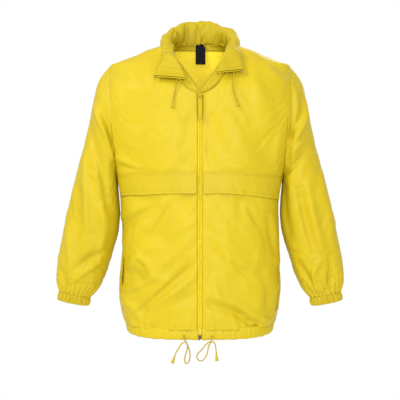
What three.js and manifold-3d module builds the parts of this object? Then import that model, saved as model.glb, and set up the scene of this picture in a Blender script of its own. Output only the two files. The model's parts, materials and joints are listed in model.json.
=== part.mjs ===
// Foul weather jacket: a light hooded windcheater with its hood rolled into the collar.
// Millimetres, +Z up, the front of the jacket faces -Y, the wearer's left is +X.
// The origin is at the hanger loop inside the back of the neck, where the jacket hangs on a hook.
import * as THREE from 'three';
import { mergeVertices } from 'three/addons/utils/BufferGeometryUtils.js';
import Module from 'manifold-3d';

const wasm = await Module();
wasm.setup();

// Driving dimensions
const MIDDLE_Y = -74;            // plane of the side and shoulder seams
const HEM_Z = -737;              // bottom edge of the jacket
const HEM_CASING_TOP = -715;     // stitched top of the drawcord casing
const PANEL_BOTTOM = HEM_CASING_TOP + 0.5;
const NECK_POINT_Z = -20;        // where the shoulder seam meets the collar
const FRONT_NECK_Z = -146;       // bottom of the neck opening
const BACK_NECK_Z = -4;
const FRONT_DEPTH = 110;         // middle plane to the front
const BACK_DEPTH = 100;
const SECTION_POWER = 2.4;       // superellipse power of the torso's sections
const SHOULDER_X = 224;          // top of the armhole
const SHOULDER_Z = -66;
const UNDERARM_X = 207;          // bottom of the armhole
const UNDERARM_Z = -345;
const ARMHOLE_BULGE = 28;        // how far the torso's section would run past the armhole plane
const SHOULDER_SLOPE = 2.7;      // width lost for each millimetre of height along the shoulder
const CLOTH = 2;                 // thickness of a stitched cloth wall
const TRIM = 1.2;                // thickness of folded trims, flaps and tapes
const GAP = 0.4;                 // clearance between sewn neighbours
const SEAM_STEP = 2.5;           // clearance of the sleeve's open end from the armhole
const ZIP_EDGE = 5;              // the front panels stop this far from the zip's middle
const POCKET_TOP = -530;
const POCKET_BOTTOM = -690;
const POCKET_MOUTH = 7;          // degrees that the front panel stops short of the side seam
const FLAP_TOP = -337;           // seam of the chest flap
const FLAP_BOTTOM = -388;
const FLAP_END_ANGLE = 75;       // degrees round from the front
const CORD_RADIUS = 1.5;
const HEM_DEPTH = 7;             // thickness of the hem casing
const HEM_EYELETS = [-38, 30];
const HEM_EYELET_Z = -728;

const TAU = 2 * Math.PI;
const radians = THREE.MathUtils.degToRad;
const mix = THREE.MathUtils.lerp;
const smooth = (value, low, high) => THREE.MathUtils.smoothstep(value, low, high);

// Materials

const material = (color, roughness, metalness = 0) =>
  new THREE.MeshStandardMaterial({ color, roughness, metalness });
const finishes = {
  shell: () => material(0xf0d23a, 0.55),
  trim: () => material(0xe6c634, 0.6),
  cord: () => material(0xecce38, 0.8),
  elastic: () => material(0xe9e6da, 0.85),
  label: () => material(0x141414, 0.7),
  lacquer: () => material(0xdcb92c, 0.35, 0.3),
  plastic: () => material(0xe7c933, 0.5),
  metal: () => material(0xa9a49a, 0.35, 1),
  dark: () => material(0x5a4326, 0.5),
};

// Solids

// Signed volume, positive where the faces point out.
function volumeOf(points, faces) {
  let volume = 0;
  const corners = [new THREE.Vector3(), new THREE.Vector3(), new THREE.Vector3()];
  for (let i = 0; i < faces.length; i += 3) {
    corners.forEach((corner, k) => corner.copy(points[faces[i + k]]));
    volume += corners[0].dot(corners[1].cross(corners[2])) / 6;
  }
  return volume;
}

function solidFrom(points, faces) {
  const inward = volumeOf(points, faces) < 0;
  const index = inward ? faces.slice().reverse() : faces;
  const geometry = new THREE.BufferGeometry().setFromPoints(points);
  geometry.setIndex(index);
  return geometry;
}

// Outward normal of surface(u, v) by differences that stay inside its edges.
function normalAt(surface, u, v, loop) {
  const step = 1e-3;
  const clampU = (value) => (loop ? value : THREE.MathUtils.clamp(value, 0, 1));
  const clampV = (value) => THREE.MathUtils.clamp(value, 0, 1);
  const alongU = surface(clampU(u + step), v).sub(surface(clampU(u - step), v));
  const alongV = surface(u, clampV(v + step)).sub(surface(u, clampV(v - step)));
  return alongU.cross(alongV).normalize();
}

// Closed solid between two offsets of a surface. loop joins u = 1 to u = 0.
function sheet(surface, us, vs, outer, inner, loop = false) {
  const columns = us.length;
  const rows = vs.length;
  const points = [];
  for (const offset of [outer, inner]) {
    for (const v of vs) {
      for (const u of us) {
        points.push(surface(u, v).addScaledVector(normalAt(surface, u, v, loop), offset));
      }
    }
  }
  const at = (side, row, column) => (side * rows + row) * columns + (column % columns);
  const faces = [];
  const quad = (a, b, c, d) => faces.push(a, b, c, a, c, d);
  const lastColumn = loop ? columns : columns - 1;
  for (let row = 0; row < rows - 1; row += 1) {
    for (let column = 0; column < lastColumn; column += 1) {
      const [near, far] = [column, column + 1];
      quad(at(0, row, near), at(0, row, far), at(0, row + 1, far), at(0, row + 1, near));
      quad(at(1, row, near), at(1, row + 1, near), at(1, row + 1, far), at(1, row, far));
    }
  }
  for (let column = 0; column < lastColumn; column += 1) {
    quad(at(0, 0, column), at(1, 0, column), at(1, 0, column + 1), at(0, 0, column + 1));
    const top = rows - 1;
    quad(at(0, top, column), at(0, top, column + 1), at(1, top, column + 1), at(1, top, column));
  }
  if (!loop) {
    for (let row = 0; row < rows - 1; row += 1) {
      quad(at(0, row, 0), at(0, row + 1, 0), at(1, row + 1, 0), at(1, row, 0));
      const end = columns - 1;
      quad(at(0, row, end), at(1, row, end), at(1, row + 1, end), at(0, row + 1, end));
    }
  }
  return solidFrom(points, faces);
}

// Faces of the wall through a row of closed rings. closed joins the last ring to the first.
function wallFaces(rings, closed = false) {
  const count = rings[0].length;
  const faces = [];
  const steps = closed ? rings.length : rings.length - 1;
  for (let row = 0; row < steps; row += 1) {
    const a = row * count;
    const b = ((row + 1) % rings.length) * count;
    for (let i = 0; i < count; i += 1) {
      const next = (i + 1) % count;
      faces.push(a + i, a + next, b + next, a + i, b + next, b + i);
    }
  }
  return faces;
}

// Solid through closed rings, with a fan over each end.
function loft(rings) {
  const count = rings[0].length;
  const points = rings.flat();
  const faces = wallFaces(rings);
  for (const row of [0, rings.length - 1]) {
    const centre = points.length;
    const sum = rings[row].reduce((total, point) => total.add(point), new THREE.Vector3());
    points.push(sum.divideScalar(count));
    for (let i = 0; i < count; i += 1) {
      const pair = [row * count + i, row * count + ((i + 1) % count)];
      faces.push(centre, ...(row === 0 ? pair.reverse() : pair));
    }
  }
  return solidFrom(points, faces);
}

const evenly = (count) => Array.from({ length: count + 1 }, (_, i) => i / count);
const round = (count) => Array.from({ length: count }, (_, i) => i / count);

// Mirror image on the other side of the zip.
function mirrored(geometry) {
  const copy = geometry.clone().scale(-1, 1, 1);
  const index = Array.from(copy.index.array).reverse();
  copy.setIndex(index);
  return copy;
}

function welded(geometry) {
  const bare = geometry.clone();
  bare.deleteAttribute('normal');
  bare.deleteAttribute('uv');
  return mergeVertices(bare, 1e-4);
}

function toManifold(geometry) {
  const bare = welded(geometry);
  const mesh = new wasm.Mesh({
    numProp: 3,
    vertProperties: Float32Array.from(bare.attributes.position.array),
    triVerts: Uint32Array.from(bare.index.array),
  });
  return new wasm.Manifold(mesh);
}

function fromManifold(solid) {
  const mesh = solid.getMesh();
  const geometry = new THREE.BufferGeometry();
  geometry.setAttribute('position', new THREE.BufferAttribute(Float32Array.from(mesh.vertProperties), 3));
  geometry.setIndex(Array.from(mesh.triVerts));
  return geometry;
}

const cut = (base, ...tools) =>
  fromManifold(tools.reduce((solid, tool) => solid.subtract(toManifold(tool)), toManifold(base)));
const join = (base, ...others) =>
  fromManifold(others.reduce((solid, other) => solid.add(toManifold(other)), toManifold(base)));

function box(low, high) {
  const size = high.map((value, i) => value - low[i]);
  const centre = high.map((value, i) => (value + low[i]) / 2);
  return new THREE.BoxGeometry(...size).translate(...centre);
}

// Outline in x and y, raised from low to high.
function prism(outline, low, high) {
  const shape = new THREE.Shape(outline.map(([x, y]) => new THREE.Vector2(x, y)));
  return new THREE.ExtrudeGeometry(shape, { depth: high - low, bevelEnabled: false }).translate(0, 0, low);
}

function tube(points, radius, steps, sides = 8) {
  const route = new THREE.CatmullRomCurve3(points.map((point) => new THREE.Vector3(...point)));
  const section = new THREE.Shape(round(sides).map((part) => new THREE.Vector2(
    radius * Math.cos(TAU * part), radius * Math.sin(TAU * part))));
  return new THREE.ExtrudeGeometry(section, { extrudePath: route, steps, bevelEnabled: false });
}

// Torso

// Smooth curve of a value against height, through points listed from the bottom up.
function profile(points) {
  const slope = (i) => {
    const before = points[Math.max(i - 1, 0)];
    const after = points[Math.min(i + 1, points.length - 1)];
    return (after[1] - before[1]) / (after[0] - before[0]);
  };
  return (height) => {
    const above = points.findIndex((point) => point[0] > height);
    const i = above < 0 ? points.length - 2 : Math.max(above - 1, 0);
    const span = points[i + 1][0] - points[i][0];
    const t = THREE.MathUtils.clamp((height - points[i][0]) / span, 0, 1);
    const bend = t * t * (3 - 2 * t);
    return mix(points[i][1], points[i + 1][1], bend)
      + span * (t * (1 - t) * (1 - t) * slope(i) - t * t * (1 - t) * slope(i + 1));
  };
}

const bodyWidth = profile([
  [HEM_Z, 186], [-700, 192], [-660, 197], [-606, 201], [-560, 197],
  [-520, 194], [-449, 195], [-400, 197], [UNDERARM_Z, UNDERARM_X],
]);

const armholeX = (z) => mix(UNDERARM_X, SHOULDER_X, (z - UNDERARM_Z) / (SHOULDER_Z - UNDERARM_Z));

function halfWidth(z) {
  if (z <= UNDERARM_Z) return bodyWidth(z);
  if (z >= SHOULDER_Z) return SHOULDER_X - (z - SHOULDER_Z) * SHOULDER_SLOPE;
  const part = (z - UNDERARM_Z) / (SHOULDER_Z - UNDERARM_Z);
  return armholeX(z) + ARMHOLE_BULGE * Math.sin(Math.PI * part) ** 1.2;
}

const frontDepth = (z) => FRONT_DEPTH - 60 * smooth(z, -140, NECK_POINT_Z);
const backDepth = (z) => BACK_DEPTH - 26 * smooth(z, -250, BACK_NECK_Z);

// Angle, from the middle of the front or back, at which the section reaches x.
const angleOfX = (x, z) => Math.asin(Math.min((x / halfWidth(z)) ** (SECTION_POWER / 2), 1));

// Where a panel stops: at the side seam, at the armhole or at the shoulder seam.
function edgeAngle(z) {
  const inArmhole = z > UNDERARM_Z && z < SHOULDER_Z;
  return inArmhole ? angleOfX(armholeX(z), z) : Math.PI / 2;
}

// Point of the torso at an angle round from the middle of the front (facing -1) or back (facing 1).
function torsoPoint(angle, z, facing) {
  const depth = facing < 0 ? frontDepth(z) : backDepth(z);
  const power = 2 / SECTION_POWER;
  const x = halfWidth(z) * Math.sign(angle) * Math.abs(Math.sin(angle)) ** power;
  const y = MIDDLE_Y + facing * (depth * Math.max(Math.cos(angle), 0) ** power + GAP / 2);
  return new THREE.Vector3(x, y, z);
}

// Heights along the side at which every panel has a row of points.
const SIDE_LEVELS = [
  PANEL_BOTTOM, POCKET_BOTTOM, POCKET_BOTTOM + 12, -640, -606, -570, POCKET_TOP - 12, POCKET_TOP,
  -490, -449, -400, UNDERARM_Z, -325, -290, -240, -190, -140, -105, -80, SHOULDER_Z, -50, -35, NECK_POINT_Z,
];
const panelRows = SIDE_LEVELS.map((z) => (z - PANEL_BOTTOM) / (NECK_POINT_Z - PANEL_BOTTOM));
const sideZ = (v) => mix(PANEL_BOTTOM, NECK_POINT_Z, v);

const frontNeckline = (u) => NECK_POINT_Z - (NECK_POINT_Z - FRONT_NECK_Z) * (1 - u) ** 3;
const backNeckline = (u) => BACK_NECK_Z - (BACK_NECK_Z - NECK_POINT_Z) * u * u;

function frontSurface(u, v) {
  const z = mix(PANEL_BOTTOM, frontNeckline(u), v);
  const side = sideZ(v);
  const inPocket = side > POCKET_BOTTOM + 1 && side < POCKET_TOP - 1;
  const edge = edgeAngle(side) - (inPocket ? radians(POCKET_MOUTH) : 0);
  return torsoPoint(mix(angleOfX(ZIP_EDGE, z), edge, u), z, -1);
}

function backSurface(u, v) {
  const across = 1 - 2 * u;
  const z = mix(PANEL_BOTTOM, backNeckline(Math.abs(across)), v);
  return torsoPoint(across * edgeAngle(sideZ(v)), z, 1);
}

const frontPanel = () => sheet(frontSurface, evenly(9), panelRows, 0, -CLOTH);
const backPanel = () => sheet(backSurface, evenly(16), panelRows, 0, -CLOTH);

// Flap over the chest vents, sewn down along its top edge.
function chestFlapSurface(u, v) {
  const z = mix(FLAP_BOTTOM, FLAP_TOP, v);
  return torsoPoint(mix(angleOfX(8, z), radians(FLAP_END_ANGLE), u), z, -1);
}
const chestFlap = () => sheet(chestFlapSurface, evenly(9), evenly(3), 2.2 + TRIM, 2.2);

// Band that binds the edge of the side pocket's mouth.
function pocketWeltSurface(u, v) {
  const z = mix(POCKET_BOTTOM + 16, POCKET_TOP - 16, v);
  return torsoPoint(radians(mix(74, 82, u)), z, -1);
}
const pocketWelt = () => sheet(pocketWeltSurface, evenly(2), evenly(4), GAP + TRIM, GAP);

// Pocket bag: a flat pouch that hangs inside the front and opens at the side seam.
function pocketBag() {
  const wall = 1.5;
  const low = [75, MIDDLE_Y - 24, POCKET_BOTTOM - 8];
  const high = [188, MIDDLE_Y - 10, POCKET_TOP - 8];
  const inside = box(
    [low[0] + wall, low[1] + wall, low[2] + wall],
    [high[0] + wall, high[1] - wall, high[2] - wall],
  );
  return cut(box(low, high), inside);
}

// Hem

// Horseshoe round the hem from one side of the zip to the other; u runs from the +X front edge.
function hemPoint(u, z, inset) {
  const quarter = Math.min(Math.floor(u * 4), 3);
  const part = u * 4 - quarter;
  const start = angleOfX(ZIP_EDGE, HEM_Z);
  const stops = [[start, Math.PI / 2], [Math.PI / 2, 0], [0, Math.PI / 2], [Math.PI / 2, start]];
  const angle = mix(...stops[quarter], part);
  const facing = quarter === 0 || quarter === 3 ? -1 : 1;
  const side = quarter < 2 ? 1 : -1;
  const power = 2 / SECTION_POWER;
  const depth = facing < 0 ? frontDepth(z) : backDepth(z);
  return new THREE.Vector3(
    side * (halfWidth(HEM_Z + 11) - inset) * Math.sin(angle) ** power,
    MIDDLE_Y + facing * (depth - inset) * Math.max(Math.cos(angle), 0) ** power,
    z,
  );
}

// The casing is folded up into a channel: an outer wall, the bottom fold and an inner wall.
function hemCasing() {
  const depth = HEM_DEPTH;
  const outer = [[0, HEM_CASING_TOP], [0, HEM_Z], [depth, HEM_Z], [depth, HEM_CASING_TOP]];
  const inner = [[depth - TRIM, HEM_CASING_TOP], [depth - TRIM, HEM_Z + TRIM], [TRIM, HEM_Z + TRIM],
    [TRIM, HEM_CASING_TOP]];
  const ring = (u) => [...outer, ...inner].map(([inset, z]) => hemPoint(u, z, inset));
  const channel = openLoft(evenly(36).map(ring));
  const holes = HEM_EYELETS.map((x) => new THREE.CylinderGeometry(2.6, 2.6, 6, 16)
    .translate(x, MIDDLE_Y - FRONT_DEPTH, HEM_EYELET_Z));
  return cut(channel, ...holes);
}

// Loft whose rings are U-shaped outlines, closed at both ends by strips between its two walls.
function openLoft(rings) {
  const count = rings[0].length;
  const points = rings.flat();
  const faces = wallFaces(rings);
  const half = count / 2;
  for (const row of [0, rings.length - 1]) {
    const base = row * count;
    for (let i = 0; i < half - 1; i += 1) {
      const corners = [base + i, base + i + 1, base + count - 2 - i, base + count - 1 - i];
      if (row === 0) corners.reverse();
      faces.push(corners[0], corners[1], corners[2], corners[0], corners[2], corners[3]);
    }
  }
  return solidFrom(points, faces);
}

// The stretch of drawcord held inside the casing, from one eyelet round the back to the other.
function hemDrawcord() {
  const inset = HEM_DEPTH / 2;
  const pastEyelet = 2.2;
  const start = angleOfX(ZIP_EDGE, HEM_Z);
  const shareAt = (x) => (angleOfX(x, HEM_Z) - start) / (Math.PI / 2 - start) / 4;
  const [right, left] = HEM_EYELETS.map((x) => shareAt(Math.abs(x) + pastEyelet));
  const route = evenly(56).map((part) => hemPoint(mix(left, 1 - right, part), HEM_EYELET_Z, inset).toArray());
  return tube(route, CORD_RADIUS, 76);
}

// Turned ring whose hole faces the front, at its own flange height.
function eyelet(x, y, z, hole) {
  const flange = hole + 2.2;
  const section = [[hole, 0], [hole, 2.6], [hole + 0.6, 3.4], [flange, 3.2], [flange, 2.4],
    [hole + 0.9, 2.2], [hole + 0.7, 0], [hole, 0]];
  const ring = new THREE.LatheGeometry(section.reverse().map((point) => new THREE.Vector2(...point)), 20);
  return ring.rotateX(Math.PI).translate(x, y, z);
}

const hemEyelet = (x) => eyelet(x, MIDDLE_Y - FRONT_DEPTH + 2.2, HEM_EYELET_Z, 1.75);

// Sleeves

const sleeveOuter = [
  [SHOULDER_X + SEAM_STEP, SHOULDER_Z - 1], [250, -101], [264, -145], [274, -200], [290, -268],
  [307, -331], [325, -405], [343, -490], [355, -550], [359, -598], [351.5, -631],
];
const sleeveInner = [
  [UNDERARM_X + SEAM_STEP, UNDERARM_Z], [206, -354], [205, -364], [203.5, -378], [201.5, -400],
  [200, -440], [206, -490], [220, -536], [234, -582], [251, -617], [275.5, -646.5],
];
const sleeveHalfDepth = profile([[0, 62], [0.2, 62], [0.4, 58], [0.6, 54], [0.8, 46], [0.93, 36], [1, 30]]);
const spline = (points) => new THREE.SplineCurve(points.map(([x, z]) => new THREE.Vector2(x, z)));
const outerEdge = spline(sleeveOuter);
const innerEdge = spline(sleeveInner);

// Half depth of the armhole at a height, in front of or behind the side seam.
function armholeDepth(z, facing) {
  const depth = facing < 0 ? frontDepth(z) : backDepth(z);
  const share = (armholeX(z) / halfWidth(z)) ** SECTION_POWER;
  return depth * Math.max(1 - share, 0) ** (1 / SECTION_POWER);
}

// v runs down the arm and u round it, from the outer edge over the front.
function sleeveSurface(u, v) {
  const outer = outerEdge.getPoint(v);
  const inner = innerEdge.getPoint(v);
  const turn = TAU * u;
  const across = (1 + Math.cos(turn)) / 2;
  const x = mix(inner.x, outer.x, across);
  const z = mix(inner.y, outer.y, across);
  const facing = Math.sin(turn) >= 0 ? -1 : 1;
  const blend = smooth(v, 0, 0.3);
  const ringDepth = armholeDepth(mix(UNDERARM_Z, SHOULDER_Z, across), facing);
  const depth = mix(ringDepth, sleeveHalfDepth(v) * Math.abs(Math.sin(turn)), blend);
  return new THREE.Vector3(x, MIDDLE_Y + facing * depth, z);
}
const sleeve = () => sheet(sleeveSurface, round(20), evenly(16), 0, -CLOTH, true);

// The arm bends forward at the elbow, about a line across it. The two halves stand back from that
// line in front by half the bend each, so that they clear each other when it is bent.
const ELBOW = new THREE.Vector3(258, MIDDLE_Y - 12, -390);
const ARM_TILT = 0.358;                       // how far the arm leans out from straight down
const ELBOW_BEND = 70;
function elbowCut(direction) {
  const reach = 500;
  const notch = reach * Math.tan(radians(ELBOW_BEND / 2 + 1));
  const outline = [[reach, 1], [0, 1], [-reach, 1 + notch], [-reach, 1 - reach], [reach, 1 - reach]];
  return prism(outline.map(([y, down]) => [y, direction * down]), -reach / 2, reach / 2)
    .rotateY(Math.PI / 2)
    .rotateX(Math.PI / 2)
    .rotateY(-ARM_TILT)
    .translate(ELBOW.x, ELBOW.y, ELBOW.z);
}

// Cuff: an elasticated casing folded into a channel, across the tilted end of the sleeve.
const CUFF_HALF = [39, 30];                    // across the arm, front to back
const cuffTop = new THREE.Vector3(313.5, MIDDLE_Y, -640);
const cuffTilt = Math.atan2(646.5 - 631, 351.5 - 275.5);
function cuffPoint(turn, drop, inset) {
  const local = new THREE.Vector3((CUFF_HALF[0] - inset) * Math.cos(turn),
    (CUFF_HALF[1] - inset) * Math.sin(turn), -drop);
  return local.applyAxisAngle(new THREE.Vector3(0, 1, 0), -cuffTilt).add(cuffTop);
}
function cuff() {
  const height = 19;
  const section = [[0, 0], [0, height], [5, height], [5, 0], [5 - TRIM, 0], [5 - TRIM, height - TRIM],
    [TRIM, height - TRIM], [TRIM, 0]];
  return ringLoft(section, 24);
}
const cuffElastic = () => ringLoft([[1.7, 3], [1.7, 16], [3.2, 16], [3.2, 3]], 24);

// Outline of inset and drop, carried right round the cuff.
function ringLoft(section, sides) {
  const seam = 2 * GAP;
  const rings = round(sides).map((part) => section.map(
    ([inset, drop]) => cuffPoint(TAU * part, drop + seam, inset)));
  return solidFrom(rings.flat(), wallFaces(rings, true));
}

// Zip

const ZIP_FRONT = MIDDLE_Y - FRONT_DEPTH;      // outer face of the cloth beside the zip
const ZIP_TOP = FRONT_NECK_Z - 9;
const ZIP_BOTTOM = HEM_Z + 11;
const SLIDER_TOP = -149;
const SLIDER_BOTTOM = -159;

const zipTape = () => box([4.2, ZIP_FRONT + 3.1, HEM_Z + 2], [16, ZIP_FRONT + 4.1, ZIP_TOP]);
const zipCoil = () => box([1.1, ZIP_FRONT - 0.2, ZIP_BOTTOM], [3.8, ZIP_FRONT + 4.1, ZIP_TOP]);
const zipPin = () => box([1.1, ZIP_FRONT, HEM_Z + 1], [3.8, ZIP_FRONT + 3.4, ZIP_BOTTOM - GAP]);
const zipRetainer = () => box([-3.8, ZIP_FRONT - 0.6, HEM_Z - 1], [0.6, ZIP_FRONT + 3.8, ZIP_BOTTOM - GAP]);

// Slider: two plates joined by the post that runs between the rows, and a bridge for the pull.
function zipSlider() {
  const body = prism([
    [-5, -4.2], [5, -4.2], [5, -1.2], [0.55, -1.2], [0.55, 5.2], [4.4, 5.2], [4.4, 6.6],
    [-4.4, 6.6], [-4.4, 5.2], [-0.55, 5.2], [-0.55, -1.2], [-5, -1.2],
  ], SLIDER_BOTTOM, SLIDER_TOP).translate(0, ZIP_FRONT, 0);
  const bridge = box([-1.1, ZIP_FRONT - 8.2, SLIDER_BOTTOM + 1], [1.1, ZIP_FRONT - 4, SLIDER_TOP - 1]);
  const opening = box([-2, ZIP_FRONT - 7, SLIDER_BOTTOM + 2.4], [2, ZIP_FRONT - 4.2, SLIDER_TOP - 2.4]);
  return join(body, cut(bridge, opening));
}

const PULL_AXIS = [0, ZIP_FRONT - 5.7, -153];
function zipPull() {
  const [, y, z] = PULL_AXIS;
  const plate = box([-3.4, y - 0.6, z - 17], [3.4, y + 0.6, z + 0.8]);
  const eye = box([-2.1, y - 2, z - 7.6], [2.1, y + 2, z - 0.8]);
  return cut(plate, eye);
}

// Moulded grip over the lower half of the pull, with ribs across its end.
function zipPuller() {
  const [, y, z] = PULL_AXIS;
  const top = z - 9;
  const bottom = z - 59;
  const grip = box([-4, y - 1.4, bottom], [4, y + 1.4, top]);
  const ribs = round(4).map((part) => {
    const low = bottom + 2 + 18 * part;
    return box([-4.3, y - 1.9, low], [4.3, y + 1.6, low + 2]);
  });
  const socket = box([-3.8, y - 0.95, z - 17.5], [3.8, y + 0.95, top + 1]);
  return cut(join(grip, ...ribs), socket);
}

// Collar

// Centre line of the rolled collar, from the +X front end round the back of the neck.
const collarHalf = [
  [0, -2, 28], [34, -7, 28], [64, -26, 25], [82, -54, 15], [85, -82, -7], [79, -107, -36],
];
const collarLine = new THREE.CatmullRomCurve3([
  ...collarHalf.slice(1).reverse().map((point) => new THREE.Vector3(...point)),
  ...collarHalf.map(([x, y, z]) => new THREE.Vector3(-x, y, z)),
]);
const collarHalfHeight = (v) => mix(15, 29, Math.sin(Math.PI * v) ** 0.7);
const collarHalfThickness = (v) => mix(9, 14, Math.sin(Math.PI * v) ** 0.7);

// Point of the roll: v along the line, turn round it, and a scale towards its core.
function collarPoint(turn, v, scale) {
  const centre = collarLine.getPoint(v);
  const along = collarLine.getTangent(v);
  const out = new THREE.Vector3(-along.y, along.x, 0).normalize().negate();
  const up = new THREE.Vector3().crossVectors(out, along).normalize();
  if (up.z < 0) up.negate();
  return centre
    .addScaledVector(out, collarHalfThickness(v) * Math.cos(turn) * scale)
    .addScaledVector(up, collarHalfHeight(v) * Math.sin(turn) * scale);
}

// The casing is open along a slit at its foot, where the hood comes out.
const SLIT = 0.06;
const collarSurface = (u, v) => collarPoint(TAU * (-0.25 + mix(SLIT, 1 - SLIT, u)), v, 1);
const collarCasing = () => sheet(collarSurface, evenly(16), evenly(26), -1.5, 0);
const hoodRoll = () => loft(evenly(22).map((v) => round(12)
  .map((part) => collarPoint(TAU * part, mix(0.03, 0.97, v), 0.72))));

// Each front end of the collar is folded out onto the chest. Corners: inner top, outer top,
// outer tip, inner foot. They differ a little from side to side, as the cloth fell.
const flapCorners = {
  left: [[62, -152, -40], [97, -134, -42], [104, -172, -90], [40, -190, -98]],
  right: [[-64, -153, -42], [-97, -136, -44], [-110, -182, -106], [-33, -198, -113]],
};
const cornerPoint = ([x, y, z]) => new THREE.Vector3(x, y, z);
function patch(corners) {
  const [a, b, c, d] = corners.map(cornerPoint);
  return (u, v) => {
    const top = a.clone().lerp(b, u);
    const foot = d.clone().lerp(c, u);
    return foot.lerp(top, v);
  };
}
const collarFlap = (side) => sheet(patch(flapCorners[side]), evenly(3), evenly(3), CLOTH, -CLOTH);

// The zip carries on up the collar's end: its coil lies along the foot of the folded flap.
function collarCoil(side) {
  const [, , tip, foot] = flapCorners[side].map(cornerPoint);
  const start = foot.clone().lerp(tip, 0.03).setZ(mix(foot.z, tip.z, 0.03) - 2.2);
  const end = foot.clone().lerp(tip, 0.9).setZ(mix(foot.z, tip.z, 0.9) - 2.2);
  return tube([start.toArray(), start.clone().lerp(end, 0.5).toArray(), end.toArray()], 1.2, 6);
}
function topStop(side) {
  const [, , tip, foot] = flapCorners[side].map(cornerPoint);
  const place = foot.clone().lerp(tip, 0.96);
  return new THREE.BoxGeometry(4, 3.6, 3.2).translate(place.x, place.y, place.z - 4);
}

// Low stand of the collar between the neck seam and the folded flap.
const standSeam = [[9, -143], [26, -134], [46, -114], [66, -84], [80, -62]];
const standEdge = [[10, -124], [24, -106], [40, -84], [56, -64], [68, -52]];
const frontY = (x, z) => torsoPoint(angleOfX(Math.abs(x), z), z, -1).y;
function standSurface(u, v) {
  const lift = 3;                              // clearance of the seam in front of the panel
  const foot = spline(standSeam).getPoint(u);
  const edge = spline(standEdge).getPoint(u);
  const y = mix(frontY(foot.x, foot.y), frontY(edge.x, edge.y) - 1, v) - lift;
  return new THREE.Vector3(mix(foot.x, edge.x, v), y, mix(foot.y, edge.y, v));
}
const collarStand = () => sheet(standSurface, evenly(6), evenly(2), TRIM, 0);

// Neck trims

// Tape that covers the collar seam inside the back of the neck.
function neckTapeSurface(u, v) {
  const end = radians(58);
  return torsoPoint(mix(end, -end, u), mix(NECK_POINT_Z, BACK_NECK_Z - 4, v), 1);
}
const neckTape = () => sheet(neckTapeSurface, evenly(10), evenly(1), -CLOTH - GAP, -CLOTH - GAP - TRIM);
const sizeLabel = () => box([-11, -7.2, -54], [14, -6.4, -7.5]);

// Loop of narrow tape that the jacket hangs by; its crown is 1 mm under the origin.
function hangerLoop() {
  const crown = 14;
  const band = [[-crown, -9], [-crown + 2, -4], [-7, -0.8], [0, 0], [7, -0.8], [crown - 2, -4], [crown, -9]];
  const outline = [...band, ...band.slice().reverse().map(([x, z]) => [x * 0.88, z - 1.3])];
  return prism(outline, -1.6, 1.6).rotateX(Math.PI / 2).translate(0, -9.2, -1);
}

// Free cords

// Hood cords: they leave the collar under the folded flaps and lie down the chest.
const hoodCordRoutes = {
  left: [[81, -164, -94], [81, -169.5, -94.5], [80.7, -174.5, -98.5], [80, -178.5, -107],
    [79.5, -181.5, -117], [79, -183, -128], [80, -183.6, -140], [83, -183.4, -152], [86.5, -183.6, -162],
    [89, -184.3, -170]],
  right: [[-55, -177, -113], [-55, -182.5, -113.5], [-55.3, -186.5, -117.5], [-56.5, -187.3, -127],
    [-58.5, -186.5, -139], [-60.8, -185.6, -151], [-63, -185.8, -163], [-65, -186.6, -174]],
};
// Drawcord ends: each leaves its eyelet, hangs in a loop, crosses itself at the hem and ends in a tail.
const hemCordRoutes = {
  left: [[30, -179, -728], [30, -186, -728.5], [29, -190.5, -733], [26, -192, -741], [20, -192, -753],
    [18, -192, -764], [13, -192.6, -777], [5, -194, -785], [-3, -194.5, -784], [-7.5, -194.5, -776],
    [-5, -194.5, -768], [3, -194.5, -760], [12, -195, -749], [21, -196, -741], [30, -196.5, -739],
    [35.5, -195, -745], [37.5, -193.5, -756], [39, -192.5, -771]],
  right: [[-38, -179, -728], [-38, -186, -728.5], [-37, -190.5, -733], [-33, -192, -741], [-28, -192, -752],
    [-24.5, -192, -764], [-24, -192, -777], [-27.5, -192, -789], [-33, -192, -792], [-36.5, -192, -785],
    [-35, -192.5, -773], [-31, -194, -760], [-30, -195.5, -748], [-35, -196, -740.5], [-43, -195, -744],
    [-50, -193.5, -755], [-57, -192.5, -766], [-61, -192, -777]],
};
// Moulded bell at the end of a cord, its mouth pointing along the cord.
function bellEnd(route, length, mouth) {
  const [before, last] = route.slice(-2).map(cornerPoint);
  const along = last.clone().sub(before).normalize();
  const section = [[0, 0.3], [1.9, 0.3], [2.1, 1], [mouth * 0.75, length * 0.55], [mouth, length - 0.6],
    [mouth - 0.5, length], [mouth - 1.1, length - 0.4], [0, length - 1.6]];
  const bell = new THREE.LatheGeometry(section.map(([radius, height]) => new THREE.Vector2(radius, height)), 16);
  const turn = new THREE.Quaternion().setFromUnitVectors(new THREE.Vector3(0, 1, 0), along);
  return bell.applyQuaternion(turn).translate(...last.toArray());
}

// Eyelets in the body under the collar flaps, where the hood cords come out.
function hoodEyelet(side) {
  const [x, y, z] = hoodCordRoutes[side][0];
  return eyelet(x, y + 0.2, z, 1.9);
}

// Assembly

const jacket = new THREE.Group();
function add(name, geometry, finish) {
  const mesh = new THREE.Mesh(welded(geometry), finishes[finish]());
  mesh.name = name;
  jacket.add(mesh);
}
function addPair(name, geometry, finish) {
  add(`${name}_left`, geometry, finish);
  add(`${name}_right`, mirrored(welded(geometry)), finish);
}

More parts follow.
